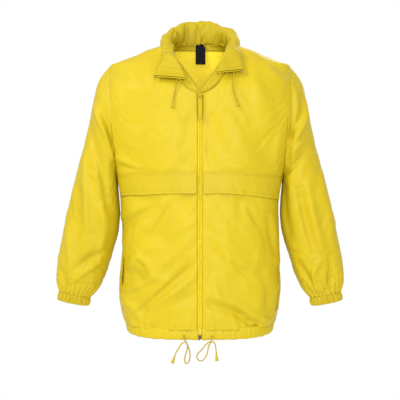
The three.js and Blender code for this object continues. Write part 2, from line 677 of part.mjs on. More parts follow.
add('back_panel', backPanel(), 'shell');
addPair('front_panel', frontPanel(), 'shell');
addPair('chest_flap', chestFlap(), 'shell');
addPair('pocket_welt', pocketWelt(), 'trim');
addPair('pocket_bag', pocketBag(), 'trim');
const wholeSleeve = sleeve();
addPair('upper_sleeve', cut(wholeSleeve, elbowCut(1)), 'shell');
addPair('lower_sleeve', cut(wholeSleeve, elbowCut(-1)), 'shell');
addPair('cuff', cuff(), 'shell');
addPair('cuff_elastic', cuffElastic(), 'elastic');
add('hem_casing', hemCasing(), 'shell');
add('hem_drawcord', hemDrawcord(), 'cord');
addPair('zip_tape', zipTape(), 'trim');
addPair('zip_coil', zipCoil(), 'plastic');
add('zip_pin', zipPin(), 'dark');
add('zip_retainer', zipRetainer(), 'dark');
add('zip_slider', zipSlider(), 'lacquer');
add('zip_pull', zipPull(), 'lacquer');
add('zip_puller', zipPuller(), 'plastic');
add('collar_casing', collarCasing(), 'shell');
add('hood_roll', hoodRoll(), 'shell');
addPair('collar_stand', collarStand(), 'shell');
add('neck_tape', neckTape(), 'trim');
add('size_label', sizeLabel(), 'label');
add('hanger_loop', hangerLoop(), 'trim');
for (const side of ['left', 'right']) {
  add(`collar_flap_${side}`, collarFlap(side), 'shell');
  add(`collar_coil_${side}`, collarCoil(side), 'plastic');
  add(`top_stop_${side}`, topStop(side), 'metal');
  add(`hood_eyelet_${side}`, hoodEyelet(side), 'lacquer');
  add(`hood_cord_${side}`, tube(hoodCordRoutes[side], CORD_RADIUS, 16), 'cord');
  add(`hood_cord_end_${side}`, bellEnd(hoodCordRoutes[side], 9, 3.6), 'plastic');
  add(`hem_cord_${side}`, tube(hemCordRoutes[side], CORD_RADIUS, 36), 'cord');
  add(`hem_cord_end_${side}`, bellEnd(hemCordRoutes[side], 15, 4.4), 'plastic');
}
add('hem_eyelet_left', hemEyelet(HEM_EYELETS[1]), 'lacquer');
add('hem_eyelet_right', hemEyelet(HEM_EYELETS[0]), 'lacquer');

export default jacket;
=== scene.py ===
"""Foul weather jacket: a thin nylon windcheater hanging as if worn, with its hood in the collar.

Metres. The front faces -Y, the wearer's left is +X and the hanger loop is at the origin.
"""
import json
import math

import bpy
import numpy as np
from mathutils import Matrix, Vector


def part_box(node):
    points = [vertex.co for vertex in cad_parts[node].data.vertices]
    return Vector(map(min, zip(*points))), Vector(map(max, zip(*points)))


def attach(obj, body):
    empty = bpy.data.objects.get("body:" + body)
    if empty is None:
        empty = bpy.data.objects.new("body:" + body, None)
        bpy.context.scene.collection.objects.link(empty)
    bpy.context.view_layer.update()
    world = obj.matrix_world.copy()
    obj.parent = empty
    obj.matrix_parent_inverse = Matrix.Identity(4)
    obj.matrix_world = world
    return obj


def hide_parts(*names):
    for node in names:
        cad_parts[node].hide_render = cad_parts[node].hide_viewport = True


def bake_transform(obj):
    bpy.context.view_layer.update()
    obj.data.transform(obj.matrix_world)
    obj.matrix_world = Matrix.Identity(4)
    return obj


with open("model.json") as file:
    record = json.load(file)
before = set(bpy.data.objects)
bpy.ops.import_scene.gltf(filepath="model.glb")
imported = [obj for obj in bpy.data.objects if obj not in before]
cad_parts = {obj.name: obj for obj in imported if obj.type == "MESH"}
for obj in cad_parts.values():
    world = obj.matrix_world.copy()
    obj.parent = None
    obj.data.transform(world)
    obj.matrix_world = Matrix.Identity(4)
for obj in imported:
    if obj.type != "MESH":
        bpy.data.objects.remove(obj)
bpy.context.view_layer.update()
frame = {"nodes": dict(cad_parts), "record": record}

MM = 0.001
SIDES = {"left": 1, "right": -1}

# Dimensions

HEM_Z = -737 * MM
PANEL_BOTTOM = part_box("back_panel")[0].z
NECK_POINT_Z = -20 * MM
BACK_NECK_Z = -4 * MM
MIDDLE_Y = -74 * MM
FRONT_DEPTH = 110 * MM
BACK_DEPTH = 100 * MM
SECTION_POWER = 2.4
SHOULDER = (224 * MM, -66 * MM)
UNDERARM = (207 * MM, -345 * MM)
ARMHOLE_BULGE = 28 * MM
SHOULDER_SLOPE = 2.7
ZIP_EDGE = 5 * MM
FLAP_TOP = -337 * MM
FLAP_BOTTOM = -388 * MM
FLAP_END_ANGLE = math.radians(75)
CLOTH = 0.5 * MM
CORD_RADIUS = 1.5 * MM
CUFF_TILT = math.atan2(15.5, 76)
CUFF_TOP = np.array([313.5, -74, -640]) * MM
CUFF_HALF = np.array([39, 30]) * MM
CUFF_GATHERS = 23
VIEW_DISTANCE = 2.4
VIEW_HEIGHT = -0.4033
VIEW_LENS = 86.4
FLOOR_Z = -1.3
FLOOR_RADIUS = 1.6
BEHAVIOUR = frame["record"]["behaviour"]
BODY_OF = {node: body for body, nodes in BEHAVIOUR["bodies"].items() for node in nodes}

# Camera: straight on, far enough for the flat look of the view

camera = bpy.data.objects.new("camera", bpy.data.cameras.new("camera"))
bpy.context.collection.objects.link(camera)
camera.location = (0, MIDDLE_Y - VIEW_DISTANCE, VIEW_HEIGHT)
camera.rotation_euler = (math.radians(90), 0, 0)
camera.data.lens = VIEW_LENS
camera.data.sensor_width = 36
bpy.context.scene.camera = camera
bpy.context.scene.view_settings.view_transform = "Standard"


# Numbers

def mix(a, b, share):
    return a + (b - a) * share


def smooth(low, high, value):
    share = np.clip((value - low) / (high - low), 0, 1)
    return share * share * (3 - 2 * share)


def curve_through(stops, value):
    """Smooth curve through (place, value) stops, without overshoot at its ends."""
    places, values = np.array(stops, float).T
    slopes = np.gradient(values, places)
    i = np.clip(np.searchsorted(places, value) - 1, 0, len(places) - 2)
    span = places[i + 1] - places[i]
    t = np.clip((value - places[i]) / span, 0, 1)
    bend = t * t * (3 - 2 * t)
    rise = t * (1 - t) ** 2 * slopes[i] - t * t * (1 - t) * slopes[i + 1]
    return mix(values[i], values[i + 1], bend) + span * rise


def run_along(line):
    """Distance travelled along a line at each of its points."""
    return np.concatenate([[0], np.cumsum(np.linalg.norm(np.diff(line, axis=0), axis=1))])


def line_through(points, count):
    """Evenly spaced points on a smooth line through the given ones."""
    points = np.array(points, float)
    lengths = run_along(points)
    fine = np.linspace(0, lengths[-1], 40 * len(points))
    dense = np.stack([curve_through(np.stack([lengths, axis], 1), fine) for axis in points.T], 1)
    run = run_along(dense)
    even = np.linspace(0, run[-1], count)
    return np.stack([np.interp(even, run, axis) for axis in dense.T], 1)


def length_of(line):
    return float(np.linalg.norm(np.diff(line, axis=0), axis=1).sum())


def unit(vectors):
    return vectors / np.maximum(np.linalg.norm(vectors, axis=-1, keepdims=True), 1e-12)


def random(seed):
    return np.random.default_rng(seed)


# Materials

def nodes_of(name, colour, roughness):
    material = bpy.data.materials.new(name)
    material.use_nodes = True
    tree = material.node_tree
    shader = tree.nodes["Principled BSDF"]
    shader.inputs["Base Color"].default_value = (*colour, 1)
    shader.inputs["Roughness"].default_value = roughness
    return material, tree, shader


def add_node(tree, kind, settings=(), inputs=()):
    node = tree.nodes.new(kind)
    for key, value in dict(settings).items():
        setattr(node, key, value)
    for key, value in dict(inputs).items():
        node.inputs[key].default_value = value
    return node


def noise_node(tree, place, scale, detail=3, distortion=0):
    node = add_node(tree, "ShaderNodeTexNoise", inputs={
        "Scale": scale, "Detail": detail, "Distortion": distortion})
    tree.links.new(place, node.inputs["Vector"])
    return node.outputs["Fac"]


def tint(tree, shader, colour, fac, amount):
    """Lets the colour vary between a darker and a lighter tone of itself."""
    ramp = add_node(tree, "ShaderNodeValToRGB")
    ramp.color_ramp.elements[0].position = 0.3
    ramp.color_ramp.elements[1].position = 0.7
    for element, share in zip(ramp.color_ramp.elements, (1 - amount, 1 + amount)):
        element.color = (*(min(channel * share, 1) for channel in colour), 1)
    tree.links.new(fac, ramp.inputs["Fac"])
    tree.links.new(ramp.outputs["Color"], shader.inputs["Base Color"])


def bump(tree, shader, layers):
    """Chains bumps, each a (height socket, distance) pair, into the shader's normal."""
    normal = None
    for height, distance in layers:
        node = add_node(tree, "ShaderNodeBump", inputs={"Strength": 1, "Distance": distance})
        tree.links.new(height, node.inputs["Height"])
        if normal:
            tree.links.new(normal, node.inputs["Normal"])
        normal = node.outputs["Normal"]
    tree.links.new(normal, shader.inputs["Normal"])


def thread(tree, place, direction, pitch):
    node = add_node(tree, "ShaderNodeTexWave", {"bands_direction": direction}, {
        "Scale": 0.314 / pitch, "Distortion": 0.4, "Detail": 1})
    tree.links.new(place, node.inputs["Vector"])
    return node.outputs["Fac"]


def nylon(name, colour, roughness=0.5, crinkle=0.5 * MM):
    """Thin plain-weave nylon: crossed threads, small crinkles and a slightly uneven dye."""
    material, tree, shader = nodes_of(name, colour, roughness)
    shader.inputs["Specular IOR Level"].default_value = 0.16
    place = add_node(tree, "ShaderNodeUVMap").outputs["UV"]
    weave = add_node(tree, "ShaderNodeMath", {"operation": "MULTIPLY"})
    for number, direction in enumerate("XY"):
        tree.links.new(thread(tree, place, direction, 1.1 * MM), weave.inputs[number])
    bump(tree, shader, [
        (noise_node(tree, place, 12, 2, 1.2), 4 * crinkle),
        (noise_node(tree, place, 90, 2, 0.8), 0.25 * crinkle),
        (weave.outputs[0], 0.03 * MM),
    ])
    tint(tree, shader, colour, noise_node(tree, place, 14, 6), 0.035)
    return material


def woven_tape(name, colour, pitch=1.2 * MM):
    """Ribbed tape or elastic."""
    material, tree, shader = nodes_of(name, colour, 0.8)
    shader.inputs["Specular IOR Level"].default_value = 0.15
    place = add_node(tree, "ShaderNodeTexCoord").outputs["Object"]
    bump(tree, shader, [
        (thread(tree, place, "Z", pitch), 0.2 * MM),
        (noise_node(tree, place, 400), 0.15 * MM),
    ])
    tint(tree, shader, colour, noise_node(tree, place, 60), 0.06)
    return material


def moulded(name, colour, roughness, metal=0.0):
    """Moulded plastic or lacquered metal, with a fine grain and faint wear."""
    material, tree, shader = nodes_of(name, colour, roughness)
    shader.inputs["Metallic"].default_value = metal
    shader.inputs["Specular IOR Level"].default_value = 0.12
    place = add_node(tree, "ShaderNodeTexCoord").outputs["Object"]
    bump(tree, shader, [(noise_node(tree, place, 900, 2), 0.05 * MM)])
    tint(tree, shader, colour, noise_node(tree, place, 150, 5), 0.08)
    return material


shell = nylon("shell nylon", (0.427, 0.318, 0.006))
# Inside of the nylon: the same yellow nylon painted much lighter, painted light that stands in for
# the light reaching the inside of the jacket.
painted_light_inside = nylon("inside of the nylon, painted light", (0.80, 0.61, 0.02), 0.6)
# Sleeve nylon: a slightly darker copy of the shell nylon, painted shade.
painted_shade_sleeve_shell = nylon("sleeve nylon, painted shade", (0.417, 0.309, 0.006))
# Flap nylon: a darker copy of the shell nylon, painted shade.
painted_shade_flap_shell = nylon("flap nylon, painted shade", (0.405, 0.300, 0.006))
# Gathered nylon for the collar, collar ends, stands and cuffs: a darker copy of the shell nylon,
# painted shade of its gathers.
painted_shade_gathered_shell = nylon("gathered nylon, painted shade", (0.385, 0.284, 0.006), 0.55, 0.7 * MM)
trim = nylon("trim nylon", (0.40, 0.295, 0.006), 0.6, 0.2 * MM)
stitch_yarn = woven_tape("stitch thread", (0.37, 0.27, 0.008), 0.8 * MM)
# Cord yarn: darker than the shell, partly the cord's own tone and partly painted shade.
cord_yarn_and_painted_shade = woven_tape("cord yarn, partly painted shade", (0.37, 0.27, 0.009), 0.9 * MM)
elastic_web = woven_tape("elastic web", (0.60, 0.59, 0.53))
label_satin = woven_tape("label satin", (0.006, 0.006, 0.007), 0.7 * MM)
# Zip coil nylon, also on the zip's tape edges: much lighter than the collar coils, painted light
# that offsets the shade in the zip's recess.
painted_light_coil_nylon = moulded("coil nylon", (0.68, 0.52, 0.02), 0.6)
edge_nylon = moulded("collar coil nylon", (0.40, 0.30, 0.006), 0.6)
dark_plastic = moulded("dark plastic", (0.10, 0.05, 0.02), 0.5)
lacquer = moulded("lacquered metal", (0.39, 0.28, 0.005), 0.55)
bell_plastic = moulded("bell plastic", (0.38, 0.28, 0.005), 0.6)
bare_metal = moulded("bare metal", (0.15, 0.12, 0.08), 0.55, 0.6)


# Meshes

def new_object(name, mesh, material):
    obj = bpy.data.objects.new(name, mesh)
    bpy.context.collection.objects.link(obj)
    mesh.materials.append(material)
    mesh.shade_smooth()
    return obj


def sheet_mesh(name, points, material, loop=False):
    """Mesh of a grid of points, rows by columns, with its texture laid out in metres."""
    rows, columns = points.shape[:2]
    steps = columns if loop else columns - 1
    row, column = np.meshgrid(np.arange(rows - 1), np.arange(steps), indexing="ij")
    after = (column + 1) % columns
    corners = [(row, column, column), (row, after, column + 1),
               (row + 1, after, column + 1), (row + 1, column, column)]
    faces = np.stack([r * columns + c for r, c, _ in corners], -1).reshape(-1, 4)
    mesh = bpy.data.meshes.new(name)
    mesh.from_pydata(points.reshape(-1, 3).tolist(), [], faces.tolist())
    ring = np.concatenate([points, points[:, :1]], 1) if loop else points
    across = np.linalg.norm(np.diff(ring, axis=1), axis=2).mean(0)
    down = np.linalg.norm(np.diff(points, axis=0), axis=2).mean(1)
    across = np.concatenate([[0], np.cumsum(across)])
    down = np.concatenate([[0], np.cumsum(down)])
    places = np.stack([np.stack([across[c], down[r]], -1) for r, _, c in corners], -2)
    layer = mesh.uv_layers.new(name="UVMap")
    layer.data.foreach_set("uv", places.reshape(-1).astype(np.float32))
    mesh.update()
    return new_object(name, mesh, material)


def normals_of(points, loop=False):
    """Outward normals of a grid whose columns run to the right and rows up, seen from outside."""
    if loop:
        ends = np.concatenate([points[:, -1:], points, points[:, :1]], 1)
        along = ends[:, 2:] - ends[:, :-2]
    else:
        along = np.gradient(points, axis=1)
    return unit(np.cross(along, np.gradient(points, axis=0)))


def flipped(points):
    """Mirror image across the zip, its columns turned round so that it still faces outwards."""
    return points[:, ::-1] * np.array([-1, 1, 1])


def thicken(obj, thickness=CLOTH, inside=None):
    solid = obj.modifiers.new("cloth thickness", "SOLIDIFY")
    solid.thickness = thickness
    solid.offset = -1
    if inside:
        obj.data.materials.append(inside)
        solid.material_offset = 1
    return obj


def soften(obj):
    smoother = obj.modifiers.new("smooth", "SUBSURF")
    smoother.levels = 1
    smoother.render_levels = 1
    return obj


def hand_over(obj, node, flat, held, body="torso", **facts):
    """Hides the CAD node that a sheet of cloth stands for and hangs the sheet on the body it rides.
    Its size laid flat, flat, is not used.
    """
    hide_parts(node)
    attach(obj, body)


def refine(node, material, width=0.25 * MM):
    """Stands in for a hard CAD node with its edges rounded."""
    source = frame["nodes"][node]
    mesh = source.data.copy()
    mesh.transform(source.matrix_world)
    mesh.materials.clear()
    obj = new_object(f"{node}_finished", mesh, material)
    mesh.set_sharp_from_angle(angle=math.radians(35))
    bevel = obj.modifiers.new("rounded edges", "BEVEL")
    bevel.width = width
    bevel.segments = 2
    bevel.limit_method = "ANGLE"
    bevel.angle_limit = math.radians(35)
    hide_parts(node)
    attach(obj, BODY_OF.get(node, "torso"))
    return obj


def tube_mesh(name, line, radius, material, sides=12, surface=None):
    """Tube along a line. surface(turn, run) scales its radius."""
    along = unit(np.gradient(line, axis=0))
    side = np.zeros_like(line)
    side[0] = unit(np.cross(along[0], (0.3, 0.9, 0.2)))
    for i in range(1, len(line)):
        side[i] = unit(side[i - 1] - along[i] * np.dot(side[i - 1], along[i]))
    other = np.cross(along, side)
    turns = np.linspace(0, 2 * np.pi, sides, endpoint=False)
    run = run_along(line)
    scale = surface(turns[None], run[:, None]) if surface else np.ones((len(line), sides))
    rings = side[:, None] * np.cos(turns)[:, None] + other[:, None] * np.sin(turns)[:, None]
    points = line[:, None] + rings * (radius * scale)[:, :, None]
    return sheet_mesh(name, points, material, loop=True)


STITCH_PITCH = 3.2 * MM
THREAD_RADIUS = 0.3 * MM


def stitches(name, line, outward, body):
    """Row of short stitches that lie on a line of points, each a small three-sided bar."""
    count = max(int(length_of(line) / STITCH_PITCH), 2)
    run = run_along(line)
    middle = (np.arange(count) + 0.5) * run[-1] / count
    reach = 0.34 * run[-1] / count

    def at(places, values):
        return np.stack([np.interp(places, run, axis) for axis in values.T], 1)

    start, end = at(middle - reach, line), at(middle + reach, line)
    up = unit(at(middle, outward)) * THREAD_RADIUS
    wide = unit(np.cross(end - start, up)) * THREAD_RADIUS
    ring = [wide * 0.6, up * 1.4, -wide * 0.6]
    points = np.stack([base + offset for base in (start, end) for offset in ring], 1)
    faces = [(0, 3, 4, 1), (1, 4, 5, 2), (0, 2, 5, 3), (0, 1, 2), (3, 5, 4)]
    mesh = bpy.data.meshes.new(name)
    every = [tuple(6 * i + corner for corner in face) for i in range(count) for face in faces]
    mesh.from_pydata(points.reshape(-1, 3).tolist(), [], every)
    obj = new_object(name, mesh, stitch_yarn)
    if body:
        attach(obj, body)
    return obj


# Free cords

HOOD_CORDS = {
    "left": [(81, -164, -94), (81, -169.5, -94.5), (80.7, -174.5, -98.5), (80, -178.5, -107),
             (79.5, -181.5, -117), (79, -183, -128), (80, -183.6, -140), (83, -183.4, -152),
             (86.5, -183.6, -162), (89, -184.3, -170)],
    "right": [(-55, -177, -113), (-55, -182.5, -113.5), (-55.3, -186.5, -117.5),
              (-56.5, -187.3, -127), (-58.5, -186.5, -139), (-60.8, -185.6, -151),
              (-63, -185.8, -163), (-65, -186.6, -174)],
}
HEM_CORDS = {
    "left": [(30, -179, -728), (30, -186, -728.5), (29, -190.5, -733), (26, -192, -741),
             (20, -192, -753), (18, -192, -764), (13, -192.6, -777), (5, -194, -785),
             (-3, -194.5, -784), (-7.5, -194.5, -776), (-5, -194.5, -768), (3, -194.5, -760),
             (12, -195, -749), (21, -196, -741), (30, -196.5, -739), (35.5, -195, -745),
             (37.5, -193.5, -756), (39, -192.5, -771)],
    "right": [(-38, -179, -728), (-38, -186, -728.5), (-37, -190.5, -733), (-33, -192, -741),
              (-28, -192, -752), (-24.5, -192, -764), (-24, -192, -777), (-27.5, -192, -789),
              (-33, -192, -792), (-36.5, -192, -785), (-35, -192.5, -773), (-31, -194, -760),
              (-30, -195.5, -748), (-35, -196, -740.5), (-43, -195, -744), (-50, -193.5, -755),
              (-57, -192.5, -766), (-61, -192, -777)],
}


def braid(turn, run):
    """Diamond pattern of a round braid."""
    lay = 2 * np.pi * run / (5 * MM)
    return 1 + 0.07 * np.sin(4 * turn + lay) * np.sin(4 * turn - lay)


def make_cord(node, route, end_node):
    line = line_through(np.array(route) * MM, 320)
    obj = tube_mesh(f"{node}_braid", line, CORD_RADIUS, cord_yarn_and_painted_shade, 16, braid)
    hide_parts(node)
    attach(obj, "torso")
    bell = refine(end_node, bell_plastic)


for side_name in SIDES:
    for kind, routes in (("hood", HOOD_CORDS), ("hem", HEM_CORDS)):
        make_cord(f"{kind}_cord_{side_name}", routes[side_name], f"{kind}_cord_end_{side_name}")


# Shape of the torso

WAIST = [(-737, 186), (-700, 192), (-660, 197), (-606, 201), (-560, 197), (-520, 194),
         (-449, 195), (-400, 197), (-345, 207)]


def half_width(z):
    arm = np.clip((z - UNDERARM[1]) / (SHOULDER[1] - UNDERARM[1]), 0, 1)
    chest = mix(UNDERARM[0], SHOULDER[0], arm) + ARMHOLE_BULGE * np.sin(np.pi * arm) ** 1.2
    yoke = SHOULDER[0] - (z - SHOULDER[1]) * SHOULDER_SLOPE
    waist = curve_through(WAIST, z / MM) * MM
    return np.where(z <= UNDERARM[1], waist, np.where(z >= SHOULDER[1], yoke, chest))


def armhole_x(z):
    return mix(UNDERARM[0], SHOULDER[0], (z - UNDERARM[1]) / (SHOULDER[1] - UNDERARM[1]))


def front_depth(z):
    return FRONT_DEPTH - 60 * MM * smooth(-140 * MM, NECK_POINT_Z, z)


def back_depth(z):
    return BACK_DEPTH - 26 * MM * smooth(-250 * MM, BACK_NECK_Z, z)


def angle_of(x, z):
    return np.arcsin(np.minimum((x / half_width(z)) ** (SECTION_POWER / 2), 1))


def edge_angle(z):
    inside = (z > UNDERARM[1]) & (z < SHOULDER[1])
    return np.where(inside, angle_of(np.minimum(armhole_x(z), half_width(z)), z), np.pi / 2)


def torso_point(angle, z, facing):
    power = 2 / SECTION_POWER
    depth = front_depth(z) if facing < 0 else back_depth(z)
    x = half_width(z) * np.sign(angle) * np.abs(np.sin(angle)) ** power
    y = MIDDLE_Y + facing * depth * np.maximum(np.cos(angle), 0) ** power
    return np.stack(np.broadcast_arrays(x, y, z), -1)


def drawn_in(points):
    """The drawcord lifts and narrows the sides of the hem a little."""
    reach = np.exp(-((np.maximum(points[..., 2] - HEM_Z, 0) / (45 * MM)) ** 2))
    sides = np.abs(points[..., 0] / (190 * MM)) ** 5
    points = points.copy()
    points[..., 2] += 11 * MM * sides * reach
    points[..., 0] *= 1 - 0.035 * sides * reach
    return points


def grid(columns, rows):
    return np.meshgrid(np.linspace(0, 1, columns), np.linspace(0, 1, rows))


# Height of the front's neckline, by share of the way from the zip to the side.
FRONT_NECKLINE = [(0, -148), (0.05, -137), (0.09, -118), (0.13, -88), (0.17, -62), (0.33, -36),
                  (0.6, -23), (1, -20)]


def front_surface(u, v):
    neckline = curve_through(FRONT_NECKLINE, u) * MM
    z = mix(PANEL_BOTTOM, neckline, v)
    side = mix(PANEL_BOTTOM, NECK_POINT_Z, v)
    return torso_point(mix(angle_of(ZIP_EDGE, z), edge_angle(side), u), z, -1)


def back_surface(u, v):
    across = 1 - 2 * u
    neckline = BACK_NECK_Z - (BACK_NECK_Z - NECK_POINT_Z) * across ** 2
    z = mix(PANEL_BOTTOM, neckline, v)
    side = mix(PANEL_BOTTOM, NECK_POINT_Z, v)
    return torso_point(across * edge_angle(side), z, 1)


# Folds. Each is a soft ridge (or a valley, where its height is negative) along a line in x and z.

FOLD_DEPTH = 1.5


def ridge(points, line, width, height, steep=1.0):
    """Height field of one fold. steep narrows the side of it to the right of the line's run."""
    line = line_through(np.array(line, float) * MM, 9)
    place = points[..., [0, 2]]
    best = np.full(place.shape[:-1], 1e9)
    offset = np.zeros_like(best)
    share = np.zeros_like(best)
    for i, (start, end) in enumerate(zip(line[:-1], line[1:])):
        run = end - start
        t = np.clip(((place - start) @ run) / (run @ run), 0, 1)
        gap = place - start - t[..., None] * run
        distance = np.linalg.norm(gap, axis=-1)
        right = (gap[..., 0] * run[1] - gap[..., 1] * run[0]) > 0
        nearer = distance < best
        best = np.where(nearer, distance, best)
        offset = np.where(nearer, distance * np.where(right, steep, 1), offset)
        share = np.where(nearer, (i + t) / (len(line) - 1), share)
    taper = np.sin(np.pi * np.clip(0.12 + 0.76 * share, 0, 1)) ** 0.7
    return FOLD_DEPTH * height * MM * taper * np.exp(-((offset / (width * MM)) ** 2))


def folds(points, table):
    total = np.zeros(points.shape[:-1])
    for line, width, height, steep in table:
        total += ridge(points, line, width, height, steep)
    return total


def crumple(points, seed, count, box, lean, sizes=(6, 16), heights=(0.5, 1.6)):
    """Field of many small folds inside a box of x and z, leaning about an angle."""
    pick = random(seed)
    total = np.zeros(points.shape[:-1])
    low, high = np.array(box[:2]), np.array(box[2:])
    for _ in range(count):
        middle = pick.uniform(low, high)
        angle = math.radians(lean + pick.normal(0, 28))
        reach = pick.uniform(18, 60) * np.array([math.cos(angle), math.sin(angle)])
        bow = pick.normal(0, 6, 2)
        height = pick.uniform(*heights) * pick.choice([-1, 1])
        line = [middle - reach, middle + bow, middle + reach]
        total += ridge(points, line, pick.uniform(*sizes), height, pick.choice([1, 1.8]))
    return total


def waves(place, spacing, seed):
    """Uneven ripples, about one for every spacing along a place in metres."""
    pick = random(seed)
    total = np.zeros_like(place)
    for factor, share in ((1, 0.5), (0.62, 0.3), (1.7, 0.2)):
        total += share * np.sin(2 * np.pi * place * factor / spacing + pick.uniform(0, 6))
    return total


# Lines in millimetres of x and z, then width, height and steepness, as the jacket hangs.
RIGHT_FRONT_FOLDS = [
    ([(-207, -301), (-180, -312), (-150, -325)], 9, 2.5, 1.5),
    ([(-205, -320), (-170, -330), (-140, -334)], 8, -2, 1),
    ([(-190, -470), (-150, -446), (-108, -412)], 15, -5, 1.6),
    ([(-184, -440), (-150, -425), (-120, -400)], 14, 3, 1),
    ([(-120, -470), (-95, -430), (-80, -400)], 13, 2.5, 1.4),
    ([(-60, -460), (-48, -425), (-42, -398)], 12, -2, 1),
    ([(-172, -566), (-150, -540), (-128, -556), (-112, -588)], 12, 5, 1.5),
    ([(-190, -600), (-160, -578), (-130, -606)], 13, -4, 1),
    ([(-9, -550), (-60, -595), (-112, -640), (-168, -690)], 13, -5.5, 1.6),
    ([(-4, -575), (-55, -615), (-100, -660), (-130, -700)], 13, 4.5, 1.2),
    ([(-72, -637), (-100, -660), (-134, -694)], 9, -3, 1.6),
    ([(-182, -622), (-150, -612), (-118, -594)], 10, 3.5, 1.6),
    ([(-196, -650), (-170, -660), (-150, -690)], 11, 3, 1.3),
    ([(-90, -560), (-60, -530), (-30, -500)], 16, 2.5, 1.2),
    ([(-198, -103), (-180, -110), (-160, -121)], 7, 2, 1.4),
    ([(-170, -109), (-163, -118), (-154, -128)], 6, -1.6, 1),
    ([(-120, -110), (-90, -135), (-60, -190)], 26, 2.5, 1),
    ([(-30, -165), (-24, -240), (-26, -330)], 22, -3, 1),
    ([(-90, -180), (-100, -250), (-90, -320)], 50, 4, 1),
]
LEFT_FRONT_FOLDS = [
    ([(24, -655), (60, -666), (96, -680), (134, -714)], 12, -5, 1.6),
    ([(20, -630), (70, -645), (120, -672), (160, -704)], 13, 4, 1.2),
    ([(118, -424), (128, -440), (140, -460)], 9, -4, 1.5),
    ([(128, -420), (140, -436), (150, -452)], 9, 2.5, 1),
    ([(162, -451), (174, -499), (183, -535)], 9, -3, 1.4),
    ([(174, -441), (187, -500), (192, -560)], 8, 3, 1),
    ([(84, -556), (98, -570), (116, -585)], 10, -3.5, 1.4),
    ([(90, -548), (106, -560), (124, -572)], 9, 2.5, 1),
    ([(150, -580), (165, -625), (160, -680)], 13, -3.5, 1.3),
    ([(60, -470), (66, -540), (52, -600)], 24, 2.5, 1),
    ([(30, -560), (22, -610), (28, -650)], 12, -2.5, 1),
    ([(168, -85), (192, -104), (218, -127)], 12, 3, 1.2),
    ([(150, -110), (172, -140), (190, -190)], 18, -3, 1),
    ([(120, -90), (140, -130), (150, -200)], 20, 2.5, 1),
    ([(30, -165), (24, -240), (26, -330)], 22, -3, 1),
    ([(90, -180), (100, -250), (90, -320)], 50, 4, 1),
    ([(196, -230), (186, -280), (190, -330)], 12, 2.5, 1.3),
]
RIGHT_SLEEVE_FOLDS = [
    ([(-240, -181), (-228, -214), (-216, -250), (-198, -313), (-196, -350)], 9, -6, 1.5),
    ([(-262, -172), (-248, -205), (-232, -240), (-212, -300)], 10, 5, 1.6),
    ([(-276, -225), (-256, -280), (-236, -350), (-226, -420)], 13, -4.5, 1.4),
    ([(-284, -290), (-281, -380), (-278, -475)], 10, 4.5, 1.4),
    ([(-306, -360), (-300, -440), (-304, -520)], 12, -4, 1.2),
    ([(-240, -420), (-236, -480), (-250, -540)], 12, 4, 1.5),
    ([(-330, -470), (-322, -540), (-318, -600)], 10, 4, 1.3),
    ([(-296, -568), (-272, -548), (-246, -534)], 11, -5.5, 1.6),
    ([(-300, -596), (-276, -574), (-250, -560)], 9, 5, 1.4),
    ([(-350, -560), (-340, -590), (-330, -620)], 8, -3.5, 1),
]
LEFT_SLEEVE_FOLDS = [
    ([(216, -112), (214, -200), (207, -320)], 6, 3.5, 1.5),
    ([(226, -130), (224, -210), (214, -330)], 7, -4, 1.2),
    ([(208, -262), (232, -226), (250, -190), (253, -150)], 9, -5, 1.6),
    ([(222, -268), (244, -236), (262, -196), (266, -160)], 9, 4.5, 1.3),
    ([(214, -334), (236, -312), (256, -290)], 10, -5, 1.5),
    ([(205, -300), (230, -280), (248, -262)], 9, 3.5, 1.2),
    ([(240, -379), (254, -440), (278, -532)], 11, -5, 1.5),
    ([(262, -360), (276, -440), (298, -520)], 12, 4.5, 1.3),
    ([(206, -372), (206, -420), (222, -500)], 12, -4, 1.2),
    ([(300, -340), (316, -430), (330, -520)], 14, 3.5, 1.2),
    ([(286, -560), (276, -590), (290, -625)], 9, 5, 1.4),
    ([(244, -560), (262, -590), (280, -610)], 9, -5, 1.4),
    ([(318, -540), (322, -580), (316, -620)], 9, -4.5, 1.3),
]
BACK_FOLDS = [
    ([(-150, -60), (-60, -110), (0, -150), (60, -112), (150, -64)], 22, -3, 1),
    ([(-196, -300), (-120, -350), (-40, -430)], 18, 4, 1.5),
    ([(190, -280), (130, -360), (60, -470)], 18, 4, 1.5),
    ([(-180, -420), (-110, -470), (-60, -560)], 16, -4, 1.4),
    ([(186, -430), (120, -520), (90, -620)], 18, -4, 1.4),
    ([(-120, -560), (-60, -610), (0, -690)], 14, 4.5, 1.6),
    ([(150, -600), (70, -640), (20, -700)], 13, -4, 1.4),
    ([(-30, -180), (-20, -320), (-34, -460)], 30, 3.5, 1),
    ([(-170, -640), (-130, -670), (-110, -706)], 11, 4, 1.4),
]


def quiet(points):
    """Damps the folds under the chest flap and under the hood cords, which lie on flat cloth."""
    z = points[..., 2]
    band = smooth(-404 * MM, -390 * MM, z) * (1 - smooth(-336 * MM, -322 * MM, z))
    near_zip = 1 - smooth(100 * MM, 135 * MM, np.abs(points[..., 0]))
    under_cords = smooth(-205 * MM, -180 * MM, z) * near_zip
    return (1 - 0.75 * band) * (1 - 0.92 * under_cords)


def pleats(points, seed):
    """Small pleats that the drawcord pulls into the cloth just above the hem."""
    rise = points[..., 2] - PANEL_BOTTOM
    lean = points[..., 0] + 0.35 * rise * np.sin(points[..., 0] / (40 * MM))
    fade = np.exp(-((np.maximum(rise, 0) / (33 * MM)) ** 1.5))
    return 2.6 * MM * waves(lean, 19 * MM, seed) * fade


def settle_edges(points, field):
    """Fades folds out towards the sewn sides and top of a panel."""
    margin = 9 * MM
    columns = np.linspace(0, 1, points.shape[1])
    across = np.linalg.norm(np.diff(points, axis=1), axis=2).sum(1)[:, None]
    height = points[-1, :, 2] - points[..., 2]
    fade = smooth(0, margin, columns * across) * smooth(0, margin, (1 - columns) * across)
    return field * fade * smooth(0, margin, height)


def folded(points, field, loop=False):
    return points + normals_of(points, loop) * field[..., None]


COLUMNS, ROWS = 62, 172


